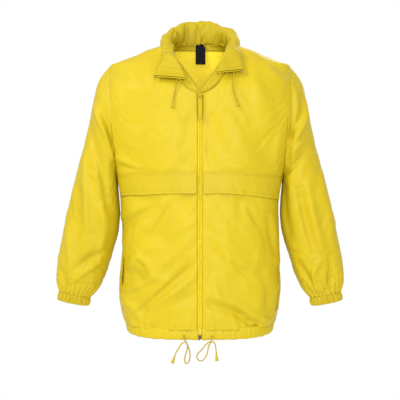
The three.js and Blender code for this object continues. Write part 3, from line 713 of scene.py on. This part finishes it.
def front_panel(side):
    points = front_surface(*grid(COLUMNS, ROWS))
    if side < 0:
        points = flipped(points)
    table = LEFT_FRONT_FOLDS if side > 0 else RIGHT_FRONT_FOLDS
    low, high = sorted((20 * side, 190 * side))
    field = folds(points, table)
    field += crumple(points, 11 + side, 34, (low, -700, high, -410), -50 * side)
    field += crumple(points, 31 + side, 12, (low, -300, high, -90), 70 * side, (9, 20), (0.3, 0.9))
    field += 3 * MM * waves(points[..., 0] + 0.5 * points[..., 2], 130 * MM, 61 + side)
    field += pleats(points, 5 + side)
    field = settle_edges(points, field * quiet(points))
    points = folded(points, field)
    zip_edge = points[:, :1] if side > 0 else points[:, -1:]
    rim = np.linalg.norm(points - zip_edge, axis=2)
    points[..., 1] += 2 * MM * (1 - smooth(0, 4 * MM, rim))
    return drawn_in(points)


def back_panel():
    points = back_surface(*grid(2 * COLUMNS, ROWS))
    field = folds(points, BACK_FOLDS)
    field += crumple(points, 71, 70, (-190, -700, 190, -120), 60)
    field += pleats(points, 9)
    return drawn_in(folded(points, settle_edges(points, field)))


# Shape of the sleeves

SLEEVE_OUTER = [(221.5, -65), (250, -101), (264, -145), (274, -200), (290, -268), (307, -331),
                (325, -405), (343, -490), (355, -550), (359, -598), (351.5, -631)]
SLEEVE_INNER = [(206.5, -345), (206, -354), (205, -364), (203.5, -378), (201.5, -400), (200, -440),
                (206, -490), (220, -536), (234, -582), (251, -617), (275.5, -646.5)]
SLEEVE_HALF_DEPTH = [(0, 62), (0.2, 62), (0.4, 58), (0.6, 54), (0.8, 46), (0.93, 36), (1, 30)]


def by_stops(points, share):
    """Smooth line through evenly numbered stops, read at a share of their count."""
    points = np.array(points, float)
    stops = np.linspace(0, 1, len(points))
    return np.stack([curve_through(np.stack([stops, axis], 1), share) for axis in points.T], -1)


def armhole_depth(z, facing):
    depth = np.where(facing < 0, front_depth(z), back_depth(z))
    share = (armhole_x(z) / half_width(z)) ** SECTION_POWER
    return depth * np.maximum(1 - share, 0) ** (1 / SECTION_POWER)


def sleeve_surface(u, v):
    outer = by_stops(SLEEVE_OUTER, v) * MM
    inner = by_stops(SLEEVE_INNER, v) * MM
    turn = 2 * np.pi * u
    across = (1 + np.cos(turn)) / 2
    x = mix(inner[..., 0], outer[..., 0], across)
    z = mix(inner[..., 1], outer[..., 1], across)
    facing = np.where(np.sin(turn) >= 0, -1, 1)
    ring = armhole_depth(mix(UNDERARM[1], SHOULDER[1], across), facing)
    arm = curve_through(SLEEVE_HALF_DEPTH, v) * MM * np.abs(np.sin(turn))
    depth = mix(ring, arm, smooth(0, 0.3, v))
    return np.stack([x, MIDDLE_Y + facing * depth, z], -1)


def cuff_gather(turn, seed):
    """Height of the cuff's gathers round the arm, from -1 to 1."""
    pick = random(seed)
    shift = 0.35 * np.sin(2 * turn + pick.uniform(0, 6))
    shift += 0.2 * np.sin(5 * turn + pick.uniform(0, 6))
    wave = np.sin(CUFF_GATHERS * turn + 3 * shift)
    return wave * (0.75 + 0.25 * np.sin(3 * turn + pick.uniform(0, 6)))


SLEEVE_COLUMNS, SLEEVE_ROWS = 110, 150


def sleeve(side):
    u, v = np.meshgrid(np.linspace(0, 1, SLEEVE_COLUMNS, endpoint=False),
                       np.linspace(0, 1, SLEEVE_ROWS))
    points = sleeve_surface(u, v)
    turn = 2 * np.pi * u
    if side < 0:
        points = flipped(points)
        turn = turn[:, ::-1]
    front = smooth(0.15, 0.5, np.sin(turn))
    low, high = sorted((205 * side, 350 * side))
    table = LEFT_SLEEVE_FOLDS if side > 0 else RIGHT_SLEEVE_FOLDS
    field = folds(points, table) * front
    arm = (low, -620, high, -120)
    field += crumple(points, 51 + side, 36, arm, 90 - 18 * side)
    behind = crumple(points, 91 + side, 40, arm, 90 + 10 * side, (8, 18), (1.5, 4))
    field += behind * (1 - front)
    outline = smooth(0.8, 1, np.abs(np.cos(turn)))
    field *= smooth(0, 0.035, v) * (1 - smooth(0.95, 1, v)) * (1 - 0.8 * outline)
    field += 2.8 * MM * cuff_gather(turn, 3 + side) * smooth(0.82, 0.99, v)
    return folded(points, field, loop=True)


# Cloth simulation of the three panels and both sleeves: the borders are sewn down, the rest sags
# and creases a little out of the folded shape, with some spare cloth.

CLOTH_FRAMES = 9
SPARE_CLOTH = 0.004
HOLD = 0.25
MOST_MOVED = 2.5 * MM


def cloth_pass(obj, pinned):
    """Adds the cloth, held firmly at the pinned points. Returns the points' rest and the cloth."""
    group = obj.vertex_groups.new(name="held")
    weights = np.where(pinned.reshape(-1), 1.0, HOLD)
    for value in np.unique(weights):
        group.add(np.flatnonzero(weights == value).tolist(), float(value), "REPLACE")
    rest = np.empty(len(obj.data.vertices) * 3, np.float32)
    obj.data.vertices.foreach_get("co", rest)
    cloth = obj.modifiers.new("cloth", "CLOTH")
    settings = cloth.settings
    settings.quality = 5
    settings.mass = 0.12
    settings.tension_stiffness = 12
    settings.compression_stiffness = 12
    settings.shear_stiffness = 4
    settings.bending_stiffness = 3
    settings.vertex_group_mass = "held"
    settings.pin_stiffness = 0.6
    settings.shrink_min = -SPARE_CLOTH
    settings.effector_weights.gravity = 0.6
    cloth.collision_settings.use_collision = False
    cloth.point_cache.frame_end = CLOTH_FRAMES
    return rest, cloth


def settle(jobs):
    """Runs the cloth, then keeps its shape in the meshes and removes the simulation."""
    scene = bpy.context.scene
    for number in range(1, CLOTH_FRAMES + 1):
        scene.frame_set(number)
    graph = bpy.context.evaluated_depsgraph_get()
    for obj, rest, cloth in jobs:
        moved = np.empty_like(rest)
        shaped = obj.evaluated_get(graph).to_mesh()
        shaped.vertices.foreach_get("co", moved)
        step = (moved - rest).reshape(-1, 3)
        size = np.linalg.norm(step, axis=1, keepdims=True)
        step *= MOST_MOVED * np.tanh(size / MOST_MOVED) / np.maximum(size, 1e-9)
        obj.modifiers.remove(cloth)
        obj.data.vertices.foreach_set("co", (rest.reshape(-1, 3) + step).reshape(-1))
        obj.data.update()
    scene.frame_set(1)


panels = {}
for side_name, side in SIDES.items():
    panels[f"front_panel_{side_name}"] = (front_panel(side), shell, False)
    panels[f"sleeve_{side_name}"] = (sleeve(side), painted_shade_sleeve_shell, True)
panels["back_panel"] = (back_panel(), shell, False)

pieces = {}
jobs = []
for name, (points, material, loop) in panels.items():
    obj = sheet_mesh(f"{name}_cloth", points, material, loop)
    pieces[name] = obj
    pinned = np.zeros(points.shape[:2], bool)
    pinned[[0, 1, -2, -1]] = True
    if not loop:
        pinned[:, [0, 1, -2, -1]] = True
    jobs.append((obj, *cloth_pass(obj, pinned)))
if jobs:
    settle(jobs)

for side_name, side in SIDES.items():
    panel = thicken(soften(pieces[f"front_panel_{side_name}"]), inside=painted_light_inside)
    hand_over(panel, f"front_panel_{side_name}", (0.27, 0.70), "hung", area=0.165)
    arm = thicken(soften(pieces[f"sleeve_{side_name}"]))
    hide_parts(f"upper_sleeve_{side_name}", f"lower_sleeve_{side_name}")
    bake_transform(arm)
back = thicken(soften(pieces["back_panel"]), inside=painted_light_inside)
hand_over(back, "back_panel", (0.56, 0.71), "hung", area=0.35)


# Chest flaps: each hangs from its seam, its free edge a little wavy

def chest_flap(side_name, side):
    u, v = grid(90, 26)
    droop = (14 if side > 0 else 7) * MM * u ** 1.6
    z = mix(FLAP_BOTTOM, FLAP_TOP, v) - droop
    points = torso_point(mix(angle_of(8 * MM, z), FLAP_END_ANGLE, u), z, -1)
    if side < 0:
        points = flipped(points)
    free = (1 - v) ** 1.3
    dip = 3 * MM * np.exp(-(((points[..., 0] - 165 * MM) / (28 * MM)) ** 2)) * (side > 0)
    lift = 2.4 * MM + free * (1.6 * MM + 1.3 * MM * waves(points[..., 0], 90 * MM, 17 + side))
    slant = points[..., 0] + 0.4 * points[..., 2]
    lift += 0.5 * MM * waves(slant, 21 * MM, 27 + side) * (0.3 + free)
    points = folded(points, lift)
    points[..., 2] -= free * (dip + 1.2 * MM * waves(points[..., 0], 120 * MM, 19 + side))
    obj = soften(sheet_mesh(f"chest_flap_{side_name}_cloth", points, painted_shade_flap_shell))
    thicken(obj, 0.9 * MM)
    body = f"chest_flap_{side_name}"
    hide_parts(body)
    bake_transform(obj)
    outward = normals_of(points)
    stitches(f"chest_flap_{side_name}_seam", points[-3, 1:-1], outward[-3, 1:-1], "torso")
    hem = stitches(f"chest_flap_{side_name}_hem", points[4, 2:-2], outward[4, 2:-2], None)
    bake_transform(hem)


for side_name, side in SIDES.items():
    chest_flap(side_name, side)


# Hem: a gathered casing, folded under

def hem_point(turn_share, z, inset):
    """Horseshoe round the hem from one side of the zip to the other."""
    quarter = np.minimum(np.floor(turn_share * 4), 3)
    part = turn_share * 4 - quarter
    start = angle_of(ZIP_EDGE, HEM_Z)
    low = np.choose(quarter.astype(int), [start, np.pi / 2, 0, np.pi / 2])
    high = np.choose(quarter.astype(int), [np.pi / 2, 0, np.pi / 2, start])
    angle = mix(low, high, part)
    facing = np.where((quarter == 0) | (quarter == 3), -1, 1)
    side = np.where(quarter < 2, 1, -1)
    power = 2 / SECTION_POWER
    depth = np.where(facing < 0, FRONT_DEPTH, BACK_DEPTH)
    x = side * (half_width(np.maximum(z, HEM_Z)) - inset) * np.sin(angle) ** power
    y = MIDDLE_Y + facing * (depth - inset) * np.maximum(np.cos(angle), 0) ** power
    return np.stack([x, y, z], -1)


# The casing's section from its top seam round under the hem: (inset, height).
HEM_PROFILE = [(1.8, 28), (-0.1, 17), (-0.8, 8), (-0.3, 2.5), (1.6, 0), (4.2, 0.2), (6.2, 3),
               (6.6, 10), (6.4, 21)]
HEM_ROWS = 22


def hem_casing():
    share, row = np.meshgrid(np.linspace(0, 1, 620), np.arange(HEM_ROWS))
    profile = by_stops(HEM_PROFILE, np.linspace(0, 1, HEM_ROWS)) * MM
    inset, height = profile[row, 0], profile[row, 1]
    points = hem_point(share, HEM_Z + height, inset)
    run = share * 1.12
    gather = waves(run, 15 * MM, 41) + 0.5 * waves(run, 6.5 * MM, 43)
    outside = smooth(5 * MM, 1 * MM, inset)
    near_seam = np.sin(np.pi * np.clip((height + 1 * MM) / (25 * MM), 0, 1))
    outward = unit(np.stack([points[..., 0], points[..., 1] - MIDDLE_Y, np.zeros_like(run)], -1)
                   * np.array([0.3, 1, 0]))
    puff = 0.88 * MM * gather * (0.35 + 0.65 * near_seam) * outside
    points = points + outward * puff[..., None]
    points[..., 2] += 0.9 * MM * waves(run, 33 * MM, 47) * (1 - height / (24 * MM))
    return drawn_in(points), outward


hem_points, hem_outward = hem_casing()
hem = thicken(sheet_mesh("hem_casing_cloth", hem_points, shell))
hand_over(hem, "hem_casing", (1.20, 0.048), "gathered")
stitches("hem_seam", hem_points[1, 3:-3], hem_outward[1, 3:-3], "torso")


# Cuffs: elastic casings

def cuff_point(turn, drop, inset):
    """Point round the left cuff, which tilts with the end of the arm."""
    across = (CUFF_HALF[0] - inset) * np.cos(turn)
    cos, sin = math.cos(CUFF_TILT), math.sin(CUFF_TILT)
    x = across * cos + drop * sin
    y = (CUFF_HALF[1] - inset) * np.sin(turn)
    z = across * sin - drop * cos
    return np.stack([x, y, z], -1) + CUFF_TOP


# The cuff's section from its top round its open end and up inside: (inset, drop).
CUFF_PROFILE = [(0.6, -1.5), (-0.3, 3), (-1.0, 9), (-0.6, 15), (0.4, 18.5), (2.4, 19.8),
                (4.3, 18.5), (5, 14), (5.2, 8), (5, 1)]
CUFF_ROWS = 30


def cuff(side_name, side):
    profile = by_stops(CUFF_PROFILE, np.linspace(0, 1, CUFF_ROWS)) * MM
    turn, row = np.meshgrid(np.linspace(0, 2 * np.pi, 420, endpoint=False), np.arange(CUFF_ROWS))
    inset, drop = profile[row, 0], profile[row, 1]
    gather = cuff_gather(turn, 3 + side)
    belly = 0.45 + 0.55 * np.sin(np.pi * np.clip(drop / (19 * MM), 0, 1))
    fine = 0.3 * np.sin(2 * CUFF_GATHERS * turn + 1)
    puff = 1.9 * MM * (gather + fine) * belly * smooth(5 * MM, 0, inset)
    points = cuff_point(turn, drop, inset - puff)
    if side < 0:
        points = flipped(points)
    obj = thicken(sheet_mesh(f"cuff_{side_name}_cloth", points, painted_shade_gathered_shell, True))
    body = f"lower_sleeve_{side_name}"
    hand_over(obj, f"cuff_{side_name}", (0.32, 0.042), "gathered", body)
    refine(f"cuff_elastic_{side_name}", elastic_web)
    for row_number in (5, 12):
        stitches(f"cuff_{side_name}_row_{row_number}", points[row_number],
                 unit(points[row_number] - points[row_number].mean(0)), body)


for side_name, side in SIDES.items():
    cuff(side_name, side)


# Collar: a gathered roll of cloth round the hood

COLLAR_HALF = [(0, -2, 33), (34, -7, 29.5), (62, -26, 21), (80, -54, 8), (84, -82, -12),
               (79, -107, -36)]
COLLAR_LINE = [*COLLAR_HALF[:0:-1], *((-x, y, z) for x, y, z in COLLAR_HALF)]


def collar_frame(share):
    """Centre, outward and upward directions, and half sizes of the roll along its length."""
    share = np.asarray(share, float)
    step = 1e-3
    centre = by_stops(COLLAR_LINE, share) * MM
    along = unit(by_stops(COLLAR_LINE, np.minimum(share + step, 1))
                 - by_stops(COLLAR_LINE, np.maximum(share - step, 0)))
    out = unit(np.stack([along[..., 1], -along[..., 0], np.zeros_like(share)], -1))
    up = unit(np.cross(out, along))
    up *= np.where(up[..., 2:] < 0, -1, 1)
    away = np.abs(share - 0.5) * 2
    thick = curve_through([(0, 13), (0.2, 14), (0.4, 15), (0.6, 16), (0.8, 16), (1, 12)], away)
    high = curve_through([(0, 27), (0.2, 25), (0.4, 18), (0.6, 15), (0.8, 14), (1, 15)], away)
    return centre, out, up, thick * MM, high * MM


def collar_wrinkles(share, turn, seed):
    """Creases that run over the roll: sharp valleys between soft puffs."""
    pick = random(seed)
    total = np.zeros_like(share)
    for _ in range(46):
        place = pick.uniform(0.02, 0.98)
        drift = pick.normal(0, 0.035)
        width = pick.uniform(0.007, 0.018)
        facing = pick.uniform(0, 2 * np.pi)
        spread = pick.uniform(0.7, 1.7)
        apart = np.angle(np.exp(1j * (turn - facing)))
        line = place + drift * np.sin(turn + facing) + 0.01 * apart
        total -= np.exp(-np.abs((share - line) / width) ** 1.3) * np.exp(-((apart / spread) ** 2))
    return total


def collar_roll():
    turn, share = np.meshgrid(np.linspace(0, 2 * np.pi, 72, endpoint=False), np.linspace(0, 1, 260))
    centre, out, up, half_thick, half_high = collar_frame(share)
    wrinkle = collar_wrinkles(share, turn, 4)
    inner = smooth(-0.2, 0.9, -np.cos(turn))
    swell = 1 + 0.07 * np.sin(9 * np.pi * share + 1.2 * np.sin(turn)) - 0.03 * inner
    swell += 0.05 * np.sin(17 * np.pi * share + 2 * np.cos(turn) + 1)
    depth = 4.2 * MM * wrinkle
    wide = (half_thick * swell + depth)[..., None]
    below = mix(2.0, 1.55, np.sin(np.pi * share) ** 2)
    reach = np.where(np.sin(turn) < 0, mix(1, below, np.abs(np.sin(turn))), 1)
    high = (half_high * reach * swell + depth)[..., None]
    return centre + out * wide * np.cos(turn)[..., None] + up * high * np.sin(turn)[..., None]


roll = sheet_mesh("collar_roll_cloth", collar_roll(), painted_shade_gathered_shell, True)
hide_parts("collar_casing", "hood_roll")
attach(roll, "torso")


def collar_base():
    """Wall from the neckline up into the roll, so that nothing shows between them."""
    front = front_surface(np.linspace(0.15, 1, 24), 1.0)
    back = back_surface(np.linspace(0.01, 0.99, 112), 1.0)
    neckline = np.concatenate([front, back, (front * np.array([-1, 1, 1]))[::-1]])
    rim = collar_frame(np.linspace(0.02, 0.98, len(neckline)))[0]
    points = mix(neckline, rim, np.linspace(-0.06, 0.85, 10)[:, None, None])
    obj = thicken(sheet_mesh("collar_base_cloth", points, painted_shade_gathered_shell))
    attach(obj, "torso")


collar_base()


# Corners of the folded collar ends: inner top, outer top, outer tip, inner foot.
FLAP_CORNERS = {
    "left": [(62, -152, -40), (97, -134, -42), (104, -172, -90), (40, -190, -98)],
    "right": [(-58, -156, -58), (-93, -148, -60), (-110, -182, -106), (-33, -198, -113)],
}


def collar_end(side_name, side):
    """The roll's front end flattens and folds out onto the chest."""
    inner_top, outer_top, tip, foot = np.array(FLAP_CORNERS[side_name], float) * MM
    stations = []
    mirror = np.array([side, 1, 1])
    for share, wider in ((0.08, 0.93), (0.0, 1.5)):
        centre, out, up, thick, high = (np.array(part) for part in collar_frame(share))
        stations.append((centre * mirror, out * thick * wider * mirror, up * high * 1.15 * mirror))
    down = unit((foot + tip) / 2 - (inner_top + outer_top) / 2)
    inner_middle, outer_middle = mix(inner_top, foot, 0.5), mix(outer_top, tip, 0.5)
    for start, end, half in ((inner_top, outer_top, 7), (inner_middle, outer_middle, 3.6),
                             (foot, tip, 1.8)):
        across = (end - start) / 2
        face = unit(np.cross(down, across))
        face *= -np.sign(face[1])
        stations.append(((start + end) / 2, across, face * half * MM))
    rows = np.linspace(0, 1, 110)
    centre, across, face = (by_stops([station[i] for station in stations], rows)
                            for i in range(3))
    turn, row = np.meshgrid(np.linspace(0, 2 * np.pi, 64, endpoint=False), np.arange(len(rows)))
    share = rows[row]
    flat = smooth(0.3, 0.8, share)
    cos, sin = np.cos(turn), np.sin(turn)
    power = mix(1.0, 0.75, flat)
    wide = np.sign(cos) * np.abs(cos) ** power
    deep = np.sign(sin) * np.abs(sin) ** power
    crease = collar_wrinkles(share, turn, 21 + side) * mix(2.6, 0.9, flat) * MM
    turn_out = np.exp(-(((share - 0.52) / 0.08) ** 2))
    turn_out -= 0.7 * np.exp(-(((share - 0.37) / 0.045) ** 2))
    outside = np.maximum(sin * -np.sign(face[row][..., 1]), 0)
    hump = (5.5 if side < 0 else 2) * MM * turn_out * outside
    spiral = turn * 20 * MM + share * 60 * MM
    puff = hump + 1.6 * MM * waves(spiral, 34 * MM, 23 + side) * (1 - 0.4 * flat)
    points = centre[row] + across[row] * wide[..., None] + face[row] * deep[..., None]
    normal = unit(unit(across[row]) * wide[..., None] + unit(face[row]) * deep[..., None])
    points = points + normal * ((crease + puff) * (1 - smooth(0.93, 1, share)))[..., None]
    if side < 0:
        points = points[:, ::-1]
    obj = sheet_mesh(f"collar_end_{side_name}_cloth", points[::-1], painted_shade_gathered_shell, True)
    body = f"collar_flap_{side_name}"
    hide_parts(body)
    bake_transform(obj)
    edge = points[-8, 4:30] if side > 0 else points[-8, -30:-4]
    lift = np.broadcast_to(unit(face[-1]), edge.shape)
    seam = stitches(f"collar_end_{side_name}_seam", edge + lift * 0.2 * MM, lift, None)
    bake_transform(seam)


for side_name, side in SIDES.items():
    collar_end(side_name, side)
    refine(f"collar_coil_{side_name}", edge_nylon)
    refine(f"top_stop_{side_name}", bare_metal)


# Stand of the collar: a puckered strip from the neck seam to the fold

STAND_SEAM = [(5, -147), (26, -136), (46, -116), (66, -86), (82, -62)]
STAND_EDGE = [(3, -139), (22, -108), (40, -82), (54, -62), (66, -46)]


def front_y(place):
    """Depth of the front at a place in x and z."""
    x, z = place[..., 0], place[..., 1]
    return torso_point(angle_of(x, z), z, -1)[..., 1]


def collar_stand(side_name, side):
    u, v = grid(150, 22)
    foot = by_stops(STAND_SEAM, u) * MM
    edge = by_stops(STAND_EDGE, u) * MM
    place = mix(foot, edge, v[..., None])
    y = mix(front_y(foot), front_y(edge), v) - 2.5 * MM
    points = np.stack([place[..., 0], y, place[..., 1]], -1)
    belly = np.sin(np.pi * np.clip(v, 0, 1))
    pucker = waves(u * 130 * MM + 8 * MM * v, 9 * MM, 33 + side) * np.maximum(belly, 0) ** 0.5
    points = folded(points, pucker * 1.1 * MM + 2.2 * MM * belly)
    points[..., 1] += 5 * MM * smooth(0.8, 1, v)
    if side < 0:
        points = flipped(points)
    obj = thicken(sheet_mesh(f"collar_stand_{side_name}_cloth", points, painted_shade_gathered_shell))
    hand_over(obj, f"collar_stand_{side_name}", (0.15, 0.030), "gathered")
    stitches(f"neck_seam_{side_name}", points[2, 3:-3], normals_of(points)[2, 3:-3], "torso")


for side_name, side in SIDES.items():
    collar_stand(side_name, side)


# Inside the back of the neck: tape, label and hanger loop

def strip(node, points, material, flat, thickness, held="stretched"):
    obj = thicken(sheet_mesh(f"{node}_cloth", points, material), thickness)
    hand_over(obj, node, flat, held)


def neck_tape():
    u, v = grid(90, 8)
    end = math.radians(58)
    points = torso_point(mix(end, -end, u), mix(-20, -4, v) * MM, 1)
    points = points + normals_of(points) * (-3.2 + 0.25 * waves(u * 0.2, 14 * MM, 3))[..., None] * MM
    strip("neck_tape", points[:, ::-1], trim, (0.20, 0.016), 0.6 * MM)
    for row in (1, 6):
        inward = np.broadcast_to(np.array([0.0, -1.0, 0.0]), points[row].shape)
        stitches(f"neck_tape_row_{row}", points[row] + inward * 0.7 * MM, inward, "torso")


def size_label():
    u, v = grid(20, 40)
    x = mix(-11, 14, u) * MM
    z = mix(-54, -1.5, v) * MM
    y = (-7.0 - 1.5 * (1 - v) ** 2 - 0.6 * np.sin(np.pi * u) * (1 - v)) * MM
    points = np.stack([x, y, z], -1)
    strip("size_label", points, label_satin, (0.025, 0.0525), 0.7 * MM, "hung")


neck_tape()
size_label()
refine("hanger_loop", trim, 0.4 * MM)


# Zip

def zip_coil(side_name, side):
    low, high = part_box(f"zip_coil_{side_name}")
    middle = (low + high) / 2
    turns = (high.z - low.z) / (1.7 * MM)
    t = np.linspace(0, 1, int(turns * 9))
    turn = 2 * np.pi * turns * t
    x = middle.x + ((high.x - low.x) / 2 - 0.5 * MM) * np.cos(turn)
    y = low.y + 1.6 * MM + 1.1 * MM * np.sin(turn)
    line = np.stack([x, y, mix(low.z, high.z, t)], -1)
    obj = tube_mesh(f"zip_coil_{side_name}_helix", line, 0.5 * MM, painted_light_coil_nylon, 6)
    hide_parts(f"zip_coil_{side_name}")
    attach(obj, "torso")
    u, v = grid(6, 200)
    x = mix(0.25, 5.2, u) * MM
    y = low.y + 2.9 * MM + 0.12 * MM * np.sin(v * 900)
    points = np.stack(np.broadcast_arrays(x, y, mix(HEM_Z + 3 * MM, high.z, v)), -1)
    if side < 0:
        points = flipped(points)
    tape = thicken(sheet_mesh(f"zip_tape_edge_{side_name}", points, painted_light_coil_nylon), 0.6 * MM)
    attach(tape, "torso")


for side_name, side in SIDES.items():
    zip_coil(side_name, side)
    refine(f"zip_tape_{side_name}", trim)
for node in ("zip_slider", "zip_pull"):
    refine(node, lacquer)
refine("zip_puller", bell_plastic, 0.5 * MM)
for node in ("zip_pin", "zip_retainer"):
    refine(node, dark_plastic)
for kind in ("hem", "hood"):
    for side_name in SIDES:
        refine(f"{kind}_eyelet_{side_name}", lacquer, 0.15 * MM)


def hem_drawcord():
    share = np.linspace(0.045, 0.96, 1500)
    line = drawn_in(hem_point(share, np.full_like(share, -728 * MM), 3.5 * MM))
    obj = tube_mesh("hem_drawcord_braid", line, CORD_RADIUS, cord_yarn_and_painted_shade, 10, braid)
    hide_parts("hem_drawcord")
    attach(obj, "torso")


hem_drawcord()


# Pockets

def pocket_welt(side_name, side):
    u, v = grid(12, 70)
    z = mix(-674, -546, v) * MM
    points = torso_point(np.radians(mix(71, 80, u)), z, -1)
    points = folded(points, 1.0 * MM + 0.2 * MM * waves(z, 17 * MM, 13 + side))
    if side < 0:
        points = flipped(points)
    strip(f"pocket_welt_{side_name}", points, trim, (0.018, 0.128), 0.6 * MM)
    stitches(f"pocket_welt_{side_name}_seam", points[2:-2, 2], normals_of(points)[2:-2, 2], "torso")


def pocket_bag(side_name, side):
    low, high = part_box(f"pocket_bag_{side_name}")
    centre, half = (low + high) / 2, (high - low) / 2
    turn, row = np.meshgrid(np.linspace(0, 2 * np.pi, 80, endpoint=False), np.linspace(-1, 1, 60))
    narrow = np.maximum(1 - np.abs(row) ** 6, 0.02) ** 0.5
    cos, sin = np.cos(turn), np.sin(turn)
    x = centre.x + half.x * narrow * np.sign(cos) * np.abs(cos) ** 0.5
    ripple = 1.6 * MM * waves(x + 0.6 * row * half.z, 30 * MM, 83 + side)
    y = centre.y + (half.y - 2.5 * MM) * narrow * np.sign(sin) * np.abs(sin) ** 0.5 + ripple
    points = np.stack([x, y, centre.z + half.z * row], -1)
    obj = sheet_mesh(f"pocket_bag_{side_name}_cloth", points, trim, True)
    hand_over(obj, f"pocket_bag_{side_name}", (0.113, 0.160), "hung")


for side_name, side in SIDES.items():
    pocket_welt(side_name, side)
    pocket_bag(side_name, side)


# Light and floor

LIT_POINT = Vector((0, MIDDLE_Y, -0.38))


def area_light(name, place, size, power):
    data = bpy.data.lights.new(name, "AREA")
    data.size = size
    data.energy = power
    light = bpy.data.objects.new(name, data)
    bpy.context.collection.objects.link(light)
    light.location = place
    light.rotation_euler = (LIT_POINT - Vector(place)).to_track_quat("-Z", "Y").to_euler()


world = bpy.data.worlds.new("studio")
bpy.context.scene.world = world
world.use_nodes = True
background = world.node_tree.nodes["Background"]
background.inputs["Color"].default_value = (1, 1, 1, 1)
background.inputs["Strength"].default_value = 1.0
area_light("front light", (0.15, -2.6, 0.1), 0.7, 48)
area_light("key", (-1.9, -1.6, 1.5), 0.8, 48)
area_light("back light", (1.2, 2.4, 1.2), 1.6, 45)

floor_mesh = bpy.data.meshes.new("floor")
corners = [(FLOOR_RADIUS * math.cos(angle), FLOOR_RADIUS * math.sin(angle), FLOOR_Z)
           for angle in np.linspace(0, 2 * np.pi, 64, endpoint=False)]
floor_mesh.from_pydata(corners, [], [tuple(range(64))])
floor_material, _, _ = nodes_of("floor", (0.85, 0.85, 0.85), 0.9)
floor = new_object("floor", floor_mesh, floor_material)
